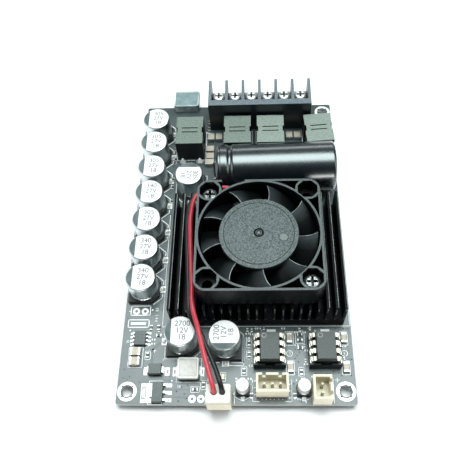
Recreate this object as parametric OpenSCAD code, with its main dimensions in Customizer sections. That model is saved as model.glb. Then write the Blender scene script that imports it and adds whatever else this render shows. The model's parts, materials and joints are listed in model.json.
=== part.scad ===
// Audio amplifier board with a fan-cooled heatsink.
// Origin: centre of the four mounting holes, on the underside of the board. +Y is the rear edge.

/* [Board] */
// Width of the circuit board
board_w = 74.5; // [74:0.5:120]
// Length of the circuit board, front to rear
board_l = 121; // [120:0.5:190]
// Thickness of the circuit board
board_t = 1.6; // [1:0.1:2.4]
// Corner radius of the circuit board
board_corner_r = 0.8; // [0.3:0.1:2]
// Mounting hole diameter
hole_d = 3.4; // [2.6:0.1:4]
// Mounting hole centre to the side edge
hole_inset_x = 3.25; // [3:0.05:4]
// Mounting hole centre to the front or rear edge
hole_inset_y = 4; // [3:0.1:4.5]
// Length of the solder tails below the board
tail_l = 1.5; // [1:0.1:3]
// Radial room round a lead in its board hole
lead_gap = 0.15; // [0.05:0.01:0.2]

/* [Heatsink] */
// Heatsink to the right edge of the board
sink_side_gap = 2.35; // [1:0.05:6]
// Least gap between the heatsink and the rail row's bases
sink_rail_gap = 4.9; // [3:0.1:8]
// Heatsink to the front edge of the board
sink_front_zone = 25.85; // [24:0.05:30]
// Heatsink to the reservoir capacitor
sink_rear_gap = 4.4; // [3:0.1:8]
// Fin spacing
fin_pitch = 2.76; // [2.6:0.02:2.8]
// Fin thickness
fin_t = 0.9; // [0.6:0.1:1.3]
// Fin height above the base
fin_h = 8.8; // [7:0.1:14]
// Heatsink base thickness
sink_base_t = 3; // [2.6:0.1:5]
// Width of each foot rail under the base
foot_w = 7; // [6.5:0.1:9]
// Diameter of the heatsink screws
sink_screw_d = 2.9; // [2.4:0.1:3.2]
// Heatsink screw distance from the front and rear of the heatsink
sink_screw_inset = 7; // [5:0.5:9]

/* [Fan] */
// Fan centre, right of the heatsink centre
fan_shift_x = 0.9; // [-1:0.1:2]
// Fan frame width
fan_w = 40; // [38:0.5:42]
// Fan frame height
fan_h = 10; // [9:0.1:15]
// Fan screw hole centre to the side of the frame
fan_hole_inset = 4; // [3.5:0.1:4.5]
// Fan screw hole diameter
fan_hole_d = 3.5; // [3.2:0.1:4]
// Frame wall where the duct comes nearest to the side
duct_edge = 0.9; // [0.8:0.05:2]
// Wall of the duct ring
duct_wall = 0.7; // [0.5:0.05:1]
// Outer wall of the frame
rim_wall = 0.75; // [0.5:0.05:1.2]
// Height of the corner flange under the screw heads
flange_t = 5; // [3:0.1:6]
// Floor under the hollow corners
pocket_floor = 1.2; // [0.8:0.1:2]
// Thickness of the struts and motor plate
strut_t = 1.4; // [1:0.1:2]
// Hub diameter
hub_d = 25; // [22:0.5:27]
// Number of blades
blade_count = 9; // [5:1:11]
// Blade chord as an angle
blade_chord = 34; // [24:1:36]
// Forward sweep of the blade tips
blade_sweep = 5.5; // [0:0.5:14]
// Turn of the rotor at rest
blade_turn = -4.2; // [-20:0.1:20]
// Blade thickness
blade_t = 1; // [0.7:0.1:1.4]
// Gap between blade tips and duct
tip_gap = 0.5; // [0.4:0.05:1]
// Shaft diameter
shaft_d = 2; // [1.5:0.1:3]
// Radial running clearance of the shaft
shaft_gap = 0.03; // [0.01:0.01:0.08]
// Diameter of each fan lead
lead_d = 1.5; // [1.2:0.1:1.5]

/* [Capacitors] */
// Diameter of the large cans
can_d = 10; // [9:0.1:10.2]
// Height of the large cans above the board
can_h = 10; // [8:0.1:12]
// Room round a can on its square base
base_margin = 0.15; // [0.1:0.05:0.4]
// Gap between neighbouring bases in the rail row
rail_gap = 1; // [0.5:0.1:1.2]
// Rail row to the heatsink's front line
rail_front_gap = 7.8; // [4:0.1:12]
// Rail row centre line to the left edge
rail_inset = 6; // [5.8:0.1:6.4]
// Diameter of the small cans
small_can_d = 4; // [3.4:0.1:4.4]
// Height of the small cans above the board
small_can_h = 5.4; // [4:0.1:7]
// Height of the moulded can bases
can_base_t = 1.4; // [1:0.1:2]
// Thickness of the can solder tabs
tab_t = 0.2; // [0.1:0.05:0.4]
// Diameter of the lying reservoir capacitor
reservoir_d = 18; // [14:0.1:18.4]
// Length of the reservoir capacitor
reservoir_l = 42.5; // [36:0.1:48]
// Lead spacing of the reservoir capacitor
reservoir_lead_pitch = 7.5; // [5:0.5:10]

/* [Inductors] */
// Width of an output inductor
coil_w = 10.2; // [9:0.1:11]
// Depth of an output inductor
coil_l = 13; // [11:0.1:13.4]
// Height of an output inductor
coil_h = 10; // [8:0.1:12]
// Side of the square supply inductor
buck_w = 6.6; // [5:0.1:7]
// Height of the supply inductor
buck_h = 3; // [2:0.1:5]

/* [Terminal strip] */
// Number of ways
term_ways = 6; // [6:1:6]
// Way spacing
term_pitch = 6.35; // [6.3:0.05:6.5]
// Depth of the strip, front to rear
term_l = 12.9; // [12:0.1:13.2]
// Height of the strip
term_h = 15; // [14.5:0.1:20]
// Height of the cell floors
term_floor_h = 7.6; // [5:0.1:8]
// Thickness of the partitions
term_wall = 1.1; // [0.8:0.05:1.2]
// Thickness of the front ridge
term_ridge_t = 2.6; // [2:0.1:3]
// Diameter of the terminal screw threads
term_screw_d = 2.9; // [2.4:0.1:3]
// Diameter of the terminal screw heads
term_head_d = 4.7; // [4.2:0.1:4.8]
// Thickness of the contact plates
plate_t = 0.8; // [0.5:0.1:1.2]
// Thickness of the clamp washers
clamp_t = 0.9; // [0.6:0.1:1.2]
// Side clearance of a clamp washer in its cell
clamp_gap = 0.18; // [0.1:0.02:0.4]

/* [Chips and headers] */
// Length of an eight-pin dual in-line chip
dip_l = 9.3; // [9:0.1:9.8]
// Body width of a dual in-line chip
dip_w = 6.35; // [6:0.05:6.6]
// Side of a chip socket
socket_w = 10.2; // [10.1:0.1:10.6]
// Height of a chip socket
socket_h = 4; // [3:0.1:5]
// Pin pitch of the chips in sockets
dip_pitch = 2.54; // [2.4:0.02:2.54]
// Pin pitch of the plug headers
header_pitch = 2.5; // [2.4:0.05:2.54]
// Depth of the plug headers
header_l = 5.75; // [5.4:0.05:6]
// Height of the plug headers
header_h = 7; // [6:0.1:9]
// Wall thickness of the plug headers
header_wall = 0.75; // [0.6:0.05:0.9]
// Floor thickness of the plug headers
header_floor = 1.6; // [1:0.1:2.5]
// Height of the fan plug above its header
plug_cap_h = 2; // [1.6:0.1:3]
// Width of the rear socket
edge_socket_w = 10.2; // [9.4:0.1:11]
// Length of the rear socket
edge_socket_l = 8.2; // [7.4:0.1:9.4]
// Height of the rear socket
edge_socket_h = 3.4; // [3.2:0.1:4]

/* [Hidden] */
$fn = 40;
half_w = board_w / 2;
half_l = board_l / 2;
top = board_t;
cut = 0.02;

hole_x = half_w - hole_inset_x;
hole_y = half_l - hole_inset_y;

can_base_w = can_d + 2 * base_margin;
small_base_w = small_can_d + 2 * base_margin;
rail_x = -half_w + rail_inset;
rail_edge = rail_x + can_base_w / 2;
rail_rear_inset = 14.4;
rail_y = half_l - rail_rear_inset;
rail_pitch = can_base_w + rail_gap;
can_floor = top + tab_t + can_base_t;

term_side_gap = 9;
term_w = term_ways * term_pitch + term_wall;
term_x = half_w - term_side_gap - term_w / 2;
term_left = term_x - term_w / 2;
term_rear = half_l;
term_front = half_l - term_l;
term_step = 0.6;
term_step_h = 9;
term_screw_inset = 4.8;
term_screw_y = term_rear - term_screw_inset;
term_pin_inset = 1.8;
term_pin_y = term_front + term_ridge_t + term_pin_inset;
term_pin_d = 1.1;
cell_w = term_pitch - term_wall;
plate_side_gap = 0.1;
plate_w = cell_w - 2 * plate_side_gap;
plate_z = top + term_floor_h;
seat_gap = 0.05;
clamp_z = plate_z + plate_t + seat_gap;
head_z = clamp_z + clamp_t + seat_gap;
term_head_t = 2.2;
term_well_floor = 1;
term_shank = term_floor_h - 1.4;

// Place and turn of each output inductor, spread between the rail row and the right edge
coil_term_gap = 1;
coil_rail_gap = 2.9;
coil_side_gap = 1.35;
coil_y = term_front - coil_term_gap - coil_l / 2;
coil_first_x = rail_edge + coil_rail_gap + coil_w / 2;
coil_last_x = half_w - coil_side_gap - coil_w / 2;
coil_share = [0, 0.372, 0.628, 1];
coil_x = [for (s = coil_share) coil_first_x + s * (coil_last_x - coil_first_x)];
coil_spots = [[coil_x[0], coil_y, 0], [coil_x[1], coil_y, 0], [coil_x[2], coil_y, 0],
              [coil_x[3], coil_y + 0.2, 4]];
coil_pin_d = 1;
coil_pin_inset_x = 2.2;
coil_pin_inset_y = 1.6;
coil_pin_x = coil_w / 2 - coil_pin_inset_x;
coil_pin_y = coil_l / 2 - coil_pin_inset_y;

// The reservoir lies in front of the inductors, its leads beside the rear filter can
reservoir_coil_gap = 2.35;
reservoir_y = coil_y - coil_l / 2 - reservoir_coil_gap - reservoir_d / 2;
reservoir_turn = 1.5;
reservoir_lift = 0.1;
reservoir_lead_d = 0.8;
reservoir_lead_out = 1.3;
reservoir_lead_room = 3.7;
lead_bend_r = 1.2;
filter_rail_gap = 3.55;
rear_filter_x = rail_edge + filter_rail_gap + can_base_w / 2;
rear_filter_shift = 2.4;
reservoir_x = rear_filter_x + can_base_w / 2 + reservoir_lead_room + reservoir_lead_out + reservoir_l / 2;

chip_h = 1.6;
chip_w = 14;
chip_l = 6.2;
sink_front = -half_l + sink_front_zone;
sink_rear = reservoir_y - reservoir_d / 2 - sink_rear_gap;
sink_l = sink_rear - sink_front;
sink_y = (sink_front + sink_rear) / 2;
sink_room = half_w - sink_side_gap - rail_edge - sink_rail_gap;
fin_count = floor((sink_room - fin_t) / fin_pitch + 0.01) + 1;
sink_w = (fin_count - 1) * fin_pitch + fin_t;
sink_x = half_w - sink_side_gap - sink_w / 2;
sink_z = top + chip_h;
sink_top = sink_z + sink_base_t + fin_h;
sink_screw_x = sink_w / 2 - foot_w / 2;
sink_screw_y = sink_l / 2 - sink_screw_inset;
screw_roof = 0.8;
sink_screw_reach = chip_h + sink_base_t - screw_roof;
sink_screw_head_d = 5.4;
screw_head_t = 1.9;
thread_gap = 0.05;
rail_count = floor((rail_y - sink_front - rail_front_gap - can_base_w / 2) / rail_pitch + 0.01) + 1;

fan_x = sink_x + fan_shift_x;
fan_y = sink_y;
fan_z = sink_top;
fan_hole_pitch = fan_w - 2 * fan_hole_inset;
duct_d = fan_w - 2 * duct_edge;
fan_corner_r = fan_hole_inset;
fan_screw_head_d = 5.3;
fan_screw_head_t = 2.6;
fan_screw_grip = 6;
boss_pocket_d = 2 * fan_corner_r - 1.1;
motor_plate_d = hub_d - 1;
bearing_d = 4.4;
bearing_tube_d = 6.2;
stator_gap = 0.04;
rotor_z = strut_t + 0.6;
rotor_top = fan_h - 0.5;
hub_r = hub_d / 2;
cup_wall = 1;
cup_roof = 1.3;
shaft_roof = 0.6;
magnet_t = 1.2;
blade_tip_r = duct_d / 2 - tip_gap;
blade_top = rotor_top - 0.7;
blade_drop = blade_top - rotor_z - blade_t - 0.1;
blade_rows = 6;
blade_cols = 7;

// Centre and turn of each large can away from the rail row
front_filter_x = -17.2;
front_filter_gap = 3.6;
front_filter_near = 0.5;
front_filter_far = 1.8;
filter_spots = [[rear_filter_x, reservoir_y - rear_filter_shift, -90],
                [front_filter_x, sink_front - can_base_w / 2 - front_filter_near, 0],
                [front_filter_x + can_base_w + front_filter_gap,
                 sink_front - can_base_w / 2 - front_filter_far, 90]];
filter_left = front_filter_x - can_base_w / 2;
filter_right = filter_spots[2][0] + can_base_w / 2;

// Front row, placed from the right edge: side header, small can, signal header, small can, fan plug
side_inset = 10.85;
header_end = 2.45;
small_can_side_gap = 0.375;
small_can_signal_gap = 2.6;
signal_small_can_gap = 2;
small_can_plug_gap = 1.2;
side_spot = [half_w - side_inset, -half_l + 3.7];
right_can_x = side_spot[0] - header_l / 2 - small_can_side_gap - small_base_w / 2;
signal_x = right_can_x - small_base_w / 2 - small_can_signal_gap - header_width(3) / 2;
left_can_x = signal_x - header_width(3) / 2 - signal_small_can_gap - small_base_w / 2;
signal_spot = [signal_x, -half_l + 5.1];
small_spots = [[left_can_x, -half_l + 4.7], [right_can_x, -half_l + 4.6]];
fan_plug_inset = 1.2;
fan_plug_spot = [left_can_x - small_base_w / 2 - small_can_plug_gap - header_width(2) / 2,
                 -half_l + fan_plug_inset];
plug_left = fan_plug_spot[0] - header_width(2) / 2;
pin_w = 0.64;
pin_rise = header_h - 1.5;
plug_room = 0.1;
plug_hole_d = lead_d + 0.4;
plug_hole_y = 0.3;
plug_hole_depth = 1.4;

// The left chip socket takes its share of the room between the front cans and the right socket
dip_inset_x = 9.15;
dip_inset_y = 16.3;
dip_share = 0.4184;
dip_y = -half_l + dip_inset_y;
right_dip_x = half_w - dip_inset_x;
dip_x = [filter_right + dip_share * (right_dip_x - socket_w / 2 - filter_right), right_dip_x];
dip_gap_x = dip_x[0] + socket_w / 2;
dip_gap = dip_x[1] - dip_x[0] - socket_w;
can_gap = dip_x[0] - socket_w / 2 - filter_right;
dip_row = 3.81;
dip_lift = 0.4;
dip_z = top + socket_h + dip_lift;
dip_h = 3.3;

edge_socket_gap = 4.95;
edge_socket_x = term_left - edge_socket_gap - edge_socket_w / 2;
edge_socket_y = half_l - 2.5;
shell_t = 0.3;
shell_r = 1.2;

soic_size = [3.9, 4.9, 1.4];
soic_leg = 1;
soic_spot = [-half_w + 6, sink_front - 4.75];
soic_gap_mid = (soic_spot[0] + soic_size[0] / 2 + soic_leg + filter_left) / 2;
ceramic_h = 1.7;
regulator_spot = [-half_w + 13, -half_l + 3.6];
diode_spot = [-half_w + 11.7, -half_l + 10.7];
buck_spot = [-half_w + 22.4, -half_l + 10.7];

// Large ceramic capacitors stand in the gaps beside the first and third inductors
ceramic_size = [3.2, 2.5, ceramic_h];
long_chip_size = [3.2, 1.6, 1.1];
small_chip_size = [1.6, 0.8, 0.5];
ceramic_pitch = 3.1;
function gap_row(i) =
    let (left = coil_x[i] + coil_w / 2, right = coil_x[i + 1] - coil_w / 2,
         n = floor((right - left - 0.6) / ceramic_pitch))
    [for (k = [0 : 1 : n - 1]) (left + right) / 2 + (k - (n - 1) / 2) * ceramic_pitch];
ceramic_x = coil_x[0] + coil_w / 2 + 2.1;
ceramic_edge_x = -half_w + 4.9;
// Large ceramic capacitors: x, y, turn
ceramic_spots = concat([[ceramic_edge_x, soic_spot[1] - 4.6, 0], [ceramic_edge_x, soic_spot[1] - 7.7, 0]],
                       [for (x = gap_row(0)) [x, coil_y + 3.6, 90]],
                       [for (x = gap_row(2)) [x, coil_y + 3.9, 90]],
                       [for (y = [-2.4, -5.8, -8.8]) [ceramic_x, coil_y + y, 0]]);
// Long chips beside the sockets: x, y, turn
long_chip_x = [dip_gap_x + 0.194 * dip_gap, half_w - 2.65];
long_chip_shift = 4.8;
long_chip_spots = [for (x = long_chip_x, side = [1, -1]) [x, dip_y + side * long_chip_shift, 90]];
// Small resistors and capacitors: x, y, turn
dip_chip_x = dip_gap_x + 0.667 * dip_gap;
can_chip_x = filter_right + 0.627 * can_gap;
coil_chip_x = coil_x[0] - coil_w / 2 - 1;
rail_chip_x = rail_edge + 1.5;
small_chip_spots = [[dip_chip_x, dip_y + 6, 0], [dip_chip_x, dip_y + 4.2, 0], [dip_chip_x, dip_y + 1.6, 0],
                    [dip_chip_x, -half_l + 10, 90], [-half_w + 8.8, -half_l + 15.6, 90],
                    [soic_gap_mid - 2.7, sink_front - 0.9, 90], [soic_gap_mid - 0.3, sink_front - 0.9, 90],
                    [soic_gap_mid, sink_front - 3.6, 0], [plug_left - 4.05, -half_l + 4.6, 0],
                    [plug_left - 1.55, -half_l + 6, 90], [can_chip_x, dip_y + 3.2, 90],
                    [can_chip_x, dip_y - 0.6, 90], [right_can_x - small_base_w / 2 - 0.6, -half_l + 2.6, 90],
                    [left_can_x + small_base_w / 2 + 0.6, -half_l + 2.6, 90],
                    [fan_plug_spot[0] + 0.85, -half_l + 8.6, 90], [left_can_x + 0.4, -half_l + 10.4, 90],
                    [coil_chip_x, coil_y + 3.4, 90], [coil_chip_x, coil_y - 1.6, 90],
                    [coil_chip_x, coil_y - 6.6, 90], [term_left - 0.65, half_l - 12, 90],
                    [term_left - 0.65, half_l - 8.6, 90], [rail_chip_x, filter_spots[0][1] + 4.15, 90],
                    [rail_chip_x, filter_spots[0][1] + 0.55, 90],
                    [rail_chip_x, filter_spots[0][1] - 5.85, 90]];

// Routes of the two fan leads, from the frame's side opening to the plug
red_route = [[-0.35, 5.3, 18.8], [-0.95, 6.65, 18.8], [-2.3, 8, 18.8], [-4.8, 8.5, 18.5],
             [-8, 8.4, 18.2], [-11, 7.8, 17.9], [-13.2, 6, 17.7], [-14.3, 3.4, 17.5],
             [-14.8, 0, 17.3], [-15, -4, 17.1], [-14.8, -8, 17], [-14.6, -12, 17],
             [-14.3, -16, 17], [-14, -20, 17], [-13.7, -24, 17], [-13.4, -28, 17],
             [-13.2, -32, 16.9], [-12.6, -35.8, 16.6], [-11.4, -39.8, 15.4], [-10.4, -43.6, 14.6],
             [-9.3, -47.8, 13.9], [-8.1, -51.8, 13.6], [-7.1, -55.2, 13.4], [-6.4, -57.4, 13],
             [-6.1, -58.7, 11.8], [-6.1, -59, 10.5], [-6.1, -59, 9.2]];
black_route = [[-1.55, 4.7, 17.15], [-2.2, 6, 17.15], [-3, 7.7, 17.15], [-5.6, 8.4, 16.9],
               [-8.8, 8.4, 16.6], [-12, 7.8, 16.3], [-14.4, 6, 16], [-15.7, 3.2, 15.95],
               [-16.1, 0, 15.95], [-16.2, -4, 15.95], [-16, -8, 15.95], [-15.8, -12, 15.95],
               [-15.5, -16, 15.95], [-15.2, -20, 15.95], [-14.9, -24, 15.95], [-14.6, -28, 15.95],
               [-14.4, -32, 15.95], [-13.9, -35.8, 15.2], [-12.3, -39.2, 13.5], [-10.2, -42.2, 12.7],
               [-9, -44.8, 12.5], [-7.7, -47.8, 12.5], [-6.3, -51, 12.6], [-5.1, -54, 12.8],
               [-4.2, -56.6, 12.9], [-3.7, -58.3, 12], [-3.6, -59, 10.6], [-3.6, -59, 9.2]];

// Places that more than one piece needs
function rail_spots() = [for (i = [0 : rail_count - 1]) [rail_x, rail_y - i * rail_pitch, 0]];
function large_spots() = concat(rail_spots(), filter_spots);
function term_cell_x(i) = term_x + (i - (term_ways - 1) / 2) * term_pitch;
function term_pins() = [for (i = [0 : term_ways - 1]) [term_cell_x(i), term_pin_y]];
function pin_row(n) = [for (i = [0 : n - 1]) (i - (n - 1) / 2) * header_pitch];
function header_pin_spots() =
    concat([for (p = pin_row(3)) [signal_spot[0] + p, signal_spot[1]]],
           [for (p = pin_row(2)) [side_spot[0], side_spot[1] + p]],
           [for (p = pin_row(2)) [fan_plug_spot[0] + p, fan_plug_spot[1]]]);
function dip_pins() = [for (x = dip_x, side = [-1, 1], i = [-1.5 : 1 : 1.5])
                       [x, side, dip_y + i * dip_pitch]];
function turned(p, spot) = [spot[0] + p[0] * cos(spot[2]) - p[1] * sin(spot[2]),
                            spot[1] + p[0] * sin(spot[2]) + p[1] * cos(spot[2])];
function coil_pins() = [for (s = coil_spots, x = [-1, 1], y = [-1, 1])
                        turned([x * coil_pin_x, y * coil_pin_y], s)];
function reservoir_pins() =
    [for (side = [-1, 1])
     turned([-reservoir_l / 2 - reservoir_lead_out, side * reservoir_lead_pitch / 2],
            [reservoir_x, reservoir_y, reservoir_turn])];
function fan_corners() = [for (x = [-1, 1], y = [-1, 1]) [x, y] * fan_hole_pitch / 2];
fan_screw_corners = [[-1, 1] * fan_hole_pitch / 2, [1, -1] * fan_hole_pitch / 2];

// A flat rectangle with round corners, about its centre
module rounded_rect(w, l, r) {
    square([w - 2 * r, l], center = true);
    square([w, l - 2 * r], center = true);
    for (x = [-1, 1], y = [-1, 1])
        translate([x * (w / 2 - r), y * (l / 2 - r)]) circle(r);
}

// A block on its base, centred in x and y
module block(w, l, h) {
    translate([-w / 2, -l / 2, 0]) cube([w, l, h]);
}

// A round bar rising from its base
module bar(d, h) {
    cylinder(d = d, h = h);
}

// The cross-shaped driver recess in a screw head
module cross_recess(size, depth) {
    for (a = [0, 90])
        rotate(a) translate([0, 0, -depth]) block(size, size / 4, depth + cut);
}

// A pan-head screw: underside of the head at z = 0, shank pointing down
module pan_screw(head_d, head_t, shank_d, shank_l) {
    edge = head_t * 0.45;
    difference() {
        union() {
            rotate_extrude() union() {
                square([head_d / 2 - edge, head_t]);
                square([head_d / 2, head_t - edge]);
                translate([head_d / 2 - edge, head_t - edge]) circle(edge);
            }
            translate([0, 0, -shank_l]) bar(shank_d, shank_l + cut);
        }
        translate([0, 0, head_t]) cross_recess(head_d * 0.62, head_t * 0.6);
    }
}

// Moulded chip body, widest at mid height
module chip_body(w, l, h, draft) {
    intersection() {
        rotate([90, 0, 0]) translate([0, 0, -l]) linear_extrude(2 * l) drafted_side(w, h, draft);
        rotate([90, 0, 90]) translate([0, 0, -w]) linear_extrude(2 * w) drafted_side(l, h, draft);
    }
}
module drafted_side(w, h, draft) {
    narrow = w / 2 - draft;
    polygon([[-narrow, 0], [narrow, 0], [w / 2, h / 2], [narrow, h], [-narrow, h], [-w / 2, h / 2]]);
}

// One bent lead that steps from a chip body down to its pad, along +x
module gull_leg(reach, rise, w, t) {
    rotate([90, 0, 0]) translate([0, 0, -w / 2]) linear_extrude(w)
        polygon([[0, rise - t], [reach * 0.3, rise - t], [reach * 0.3, 0], [reach, 0], [reach, t],
                 [reach * 0.3 + t, t], [reach * 0.3 + t, rise], [0, rise]]);
}

// Tube of eight sides along a list of points
ring_sides = 8;
ring_lean = [1, 0.2, 1];
function unit(v) = v / norm(v);
function heading(p, i) = unit(p[min(i + 1, len(p) - 1)] - p[max(i - 1, 0)]);
function ring(p, i, r) =
    let (t = heading(p, i), u = unit(cross(t, ring_lean)), v = cross(t, u))
    [for (k = [0 : ring_sides - 1]) let (a = 360 * k / ring_sides) p[i] + r * (cos(a) * u + sin(a) * v)];
function ring_id(i, k) = i * ring_sides + k % ring_sides;
module tube(p, d) {
    last = len(p) - 1;
    points = [for (i = [0 : last]) each ring(p, i, d / 2)];
    walls = [for (i = [0 : last - 1], k = [0 : ring_sides - 1])
             each [[ring_id(i, k), ring_id(i + 1, k), ring_id(i + 1, k + 1)],
                   [ring_id(i, k), ring_id(i + 1, k + 1), ring_id(i, k + 1)]]];
    ends = [[for (k = [0 : ring_sides - 1]) ring_id(0, k)],
            [for (k = [ring_sides - 1 : -1 : 0]) ring_id(last, k)]];
    polyhedron(points, concat(walls, ends), convexity = 6);
}

// Board with its mounting holes and one hole for each lead
module circuit_board() {
    color([0.16, 0.18, 0.18])
    difference() {
        linear_extrude(board_t) rounded_rect(board_w, board_l, board_corner_r);
        for (x = [-1, 1], y = [-1, 1])
            translate([x * hole_x, y * hole_y, -cut]) bar(hole_d, board_t + 2 * cut);
        for (p = term_pins()) lead_hole(p, term_pin_d);
        for (p = header_pin_spots()) lead_hole(p, pin_w * sqrt(2));
        for (p = dip_pins()) lead_hole([p[0] + p[1] * dip_row, p[2]], contact_w * sqrt(2));
        for (p = coil_pins()) lead_hole(p, coil_pin_d);
        for (p = reservoir_pins()) lead_hole(p, reservoir_lead_d);
        for (x = [-1, 1], y = [-1, 1])
            lead_hole([sink_x + x * sink_screw_x, sink_y + y * sink_screw_y], sink_screw_d);
    }
}

module lead_hole(p, d) {
    translate([p[0], p[1], -cut]) bar(d + 2 * lead_gap, board_t + 2 * cut);
}

// Extruded heatsink: base on two foot rails, a pad that meets the chip, and the fins
module heatsink() {
    color([0.06, 0.06, 0.07])
    difference() {
        translate([sink_x - sink_w / 2, sink_front, 0]) {
            translate([0, 0, sink_z]) cube([sink_w, sink_l, sink_base_t]);
            for (i = [0 : fin_count - 1])
                translate([i * fin_pitch, 0, sink_z]) cube([fin_t, sink_l, sink_base_t + fin_h]);
            for (x = [0, sink_w - foot_w])
                translate([x, 0, top]) cube([foot_w, sink_l, chip_h + sink_base_t]);
        }
        for (x = [-1, 1], y = [-1, 1])
            translate([sink_x + x * sink_screw_x, sink_y + y * sink_screw_y, top - cut])
                bar(sink_screw_d + 2 * thread_gap, sink_screw_reach + thread_gap + cut);
        for (c = fan_screw_corners)
            translate([fan_x + c[0], fan_y + c[1], sink_top - fan_screw_grip - thread_gap])
                bar(fan_screw_shank_d + 2 * thread_gap, fan_screw_grip + 1);
    }
}
fan_screw_shank_d = 2.9;

// Screws from below the board into the foot rails
module heatsink_screws() {
    color([0.7, 0.7, 0.72])
    for (x = [-1, 1], y = [-1, 1])
        translate([sink_x + x * sink_screw_x, sink_y + y * sink_screw_y, 0]) rotate([180, 0, 0])
            pan_screw(sink_screw_head_d, screw_head_t, sink_screw_d, board_t + sink_screw_reach);
}

module amplifier_chip() {
    color([0.1, 0.1, 0.1])
    translate([sink_x, sink_y, top]) block(chip_w, chip_l, chip_h);
}

// Moulded fan frame: duct ring, corner bosses, hollow corners, struts and motor plate
module fan_frame() {
    color([0.09, 0.1, 0.1])
    translate([fan_x, fan_y, fan_z]) {
        difference() {
            linear_extrude(fan_h) rounded_rect(fan_w, fan_w, fan_corner_r);
            translate([0, 0, -cut]) cylinder(d = duct_d, h = fan_h + 2 * cut, $fn = 96);
            translate([0, 0, pocket_floor]) linear_extrude(fan_h) hollow_corners();
            for (c = fan_corners()) translate([c[0], c[1], -cut]) {
                bar(fan_hole_d, fan_h);
                translate([0, 0, flange_t + cut]) rotate(22.5)
                    cylinder(d = boss_pocket_d, h = fan_h, $fn = 8);
            }
            lead_opening();
        }
        difference() {
            union() {
                cylinder(d = motor_plate_d, h = strut_t);
                for (a = strut_turns) rotate(a)
                    translate([0, -strut_w / 2, 0]) cube([duct_d / 2 + duct_wall / 2, strut_w, strut_t]);
                rotate(lead_strut_turn) translate([0, -lead_strut_w / 2, 0])
                    cube([duct_d / 2 + duct_wall / 2, lead_strut_w, strut_t]);
                bar(bearing_tube_d, bearing_top);
            }
            translate([0, 0, strut_t / 2]) bar(bearing_d, fan_h);
        }
    }
}
strut_w = 1.8;
lead_strut_w = 3.4;
strut_turns = [5, 245];
lead_strut_turn = 125;
bearing_top = fan_h - 4.2;

// Plan of the hollows between the outer wall, the duct ring and the screw bosses
module hollow_corners() {
    difference() {
        square(fan_w - 2 * rim_wall, center = true);
        circle(d = duct_d + 2 * duct_wall, $fn = 96);
        for (c = fan_corners()) translate(c) circle(fan_corner_r);
        for (x = [-1, 1], y = [-1, 1])
            translate([x, y] * fan_w / 2 - [x, y] * fan_corner_r / 2) square(fan_corner_r, center = true);
    }
}

// Opening in the rear wall where the leads come out
opening_start = 4.4;
module lead_opening() {
    opening_l = fan_hole_pitch / 2 - fan_corner_r - opening_start;
    translate([-opening_start - opening_l, fan_w / 2 - rim_wall - cut, pocket_floor])
        cube([opening_l, rim_wall + 1, fan_h]);
}

// One blade as a curved sheet: i along the span, j along the chord, k for the two faces
function blade_point(i, j, k) =
    let (r = hub_r - cup_wall / 2 + i * (blade_tip_r - hub_r + cup_wall / 2) / blade_rows,
         s = max(0, (r - hub_r) / (blade_tip_r - hub_r)), t = j / blade_cols,
         a = blade_sweep * s * s - blade_chord * t,
         z = blade_top - blade_drop * t * (0.62 + 0.38 * t) - k * blade_t)
    [r * cos(a), r * sin(a), z];
function blade_id(i, j, k) = (k * (blade_rows + 1) + i) * (blade_cols + 1) + j;
function two_triangles(q) = [[q[0], q[1], q[2]], [q[0], q[2], q[3]]];
module blade() {
    n = blade_rows;
    m = blade_cols;
    points = [for (k = [0, 1], i = [0 : n], j = [0 : m]) blade_point(i, j, k)];
    upper = [for (i = [0 : n - 1], j = [0 : m - 1])
             [blade_id(i, j, 0), blade_id(i + 1, j, 0), blade_id(i + 1, j + 1, 0), blade_id(i, j + 1, 0)]];
    lower = [for (i = [0 : n - 1], j = [0 : m - 1])
             [blade_id(i, j, 1), blade_id(i, j + 1, 1), blade_id(i + 1, j + 1, 1), blade_id(i + 1, j, 1)]];
    lead_edge = [for (i = [0 : n - 1])
                 [blade_id(i, 0, 0), blade_id(i, 0, 1), blade_id(i + 1, 0, 1), blade_id(i + 1, 0, 0)]];
    tail_edge = [for (i = [0 : n - 1])
                 [blade_id(i, m, 0), blade_id(i + 1, m, 0), blade_id(i + 1, m, 1), blade_id(i, m, 1)]];
    root = [for (j = [0 : m - 1])
            [blade_id(0, j, 0), blade_id(0, j + 1, 0), blade_id(0, j + 1, 1), blade_id(0, j, 1)]];
    tip = [for (j = [0 : m - 1])
           [blade_id(n, j, 0), blade_id(n, j, 1), blade_id(n, j + 1, 1), blade_id(n, j + 1, 0)]];
    quads = concat(upper, lower, lead_edge, tail_edge, root, tip);
    polyhedron(points, [for (q = quads) each two_triangles(q)], convexity = 4);
}

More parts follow.
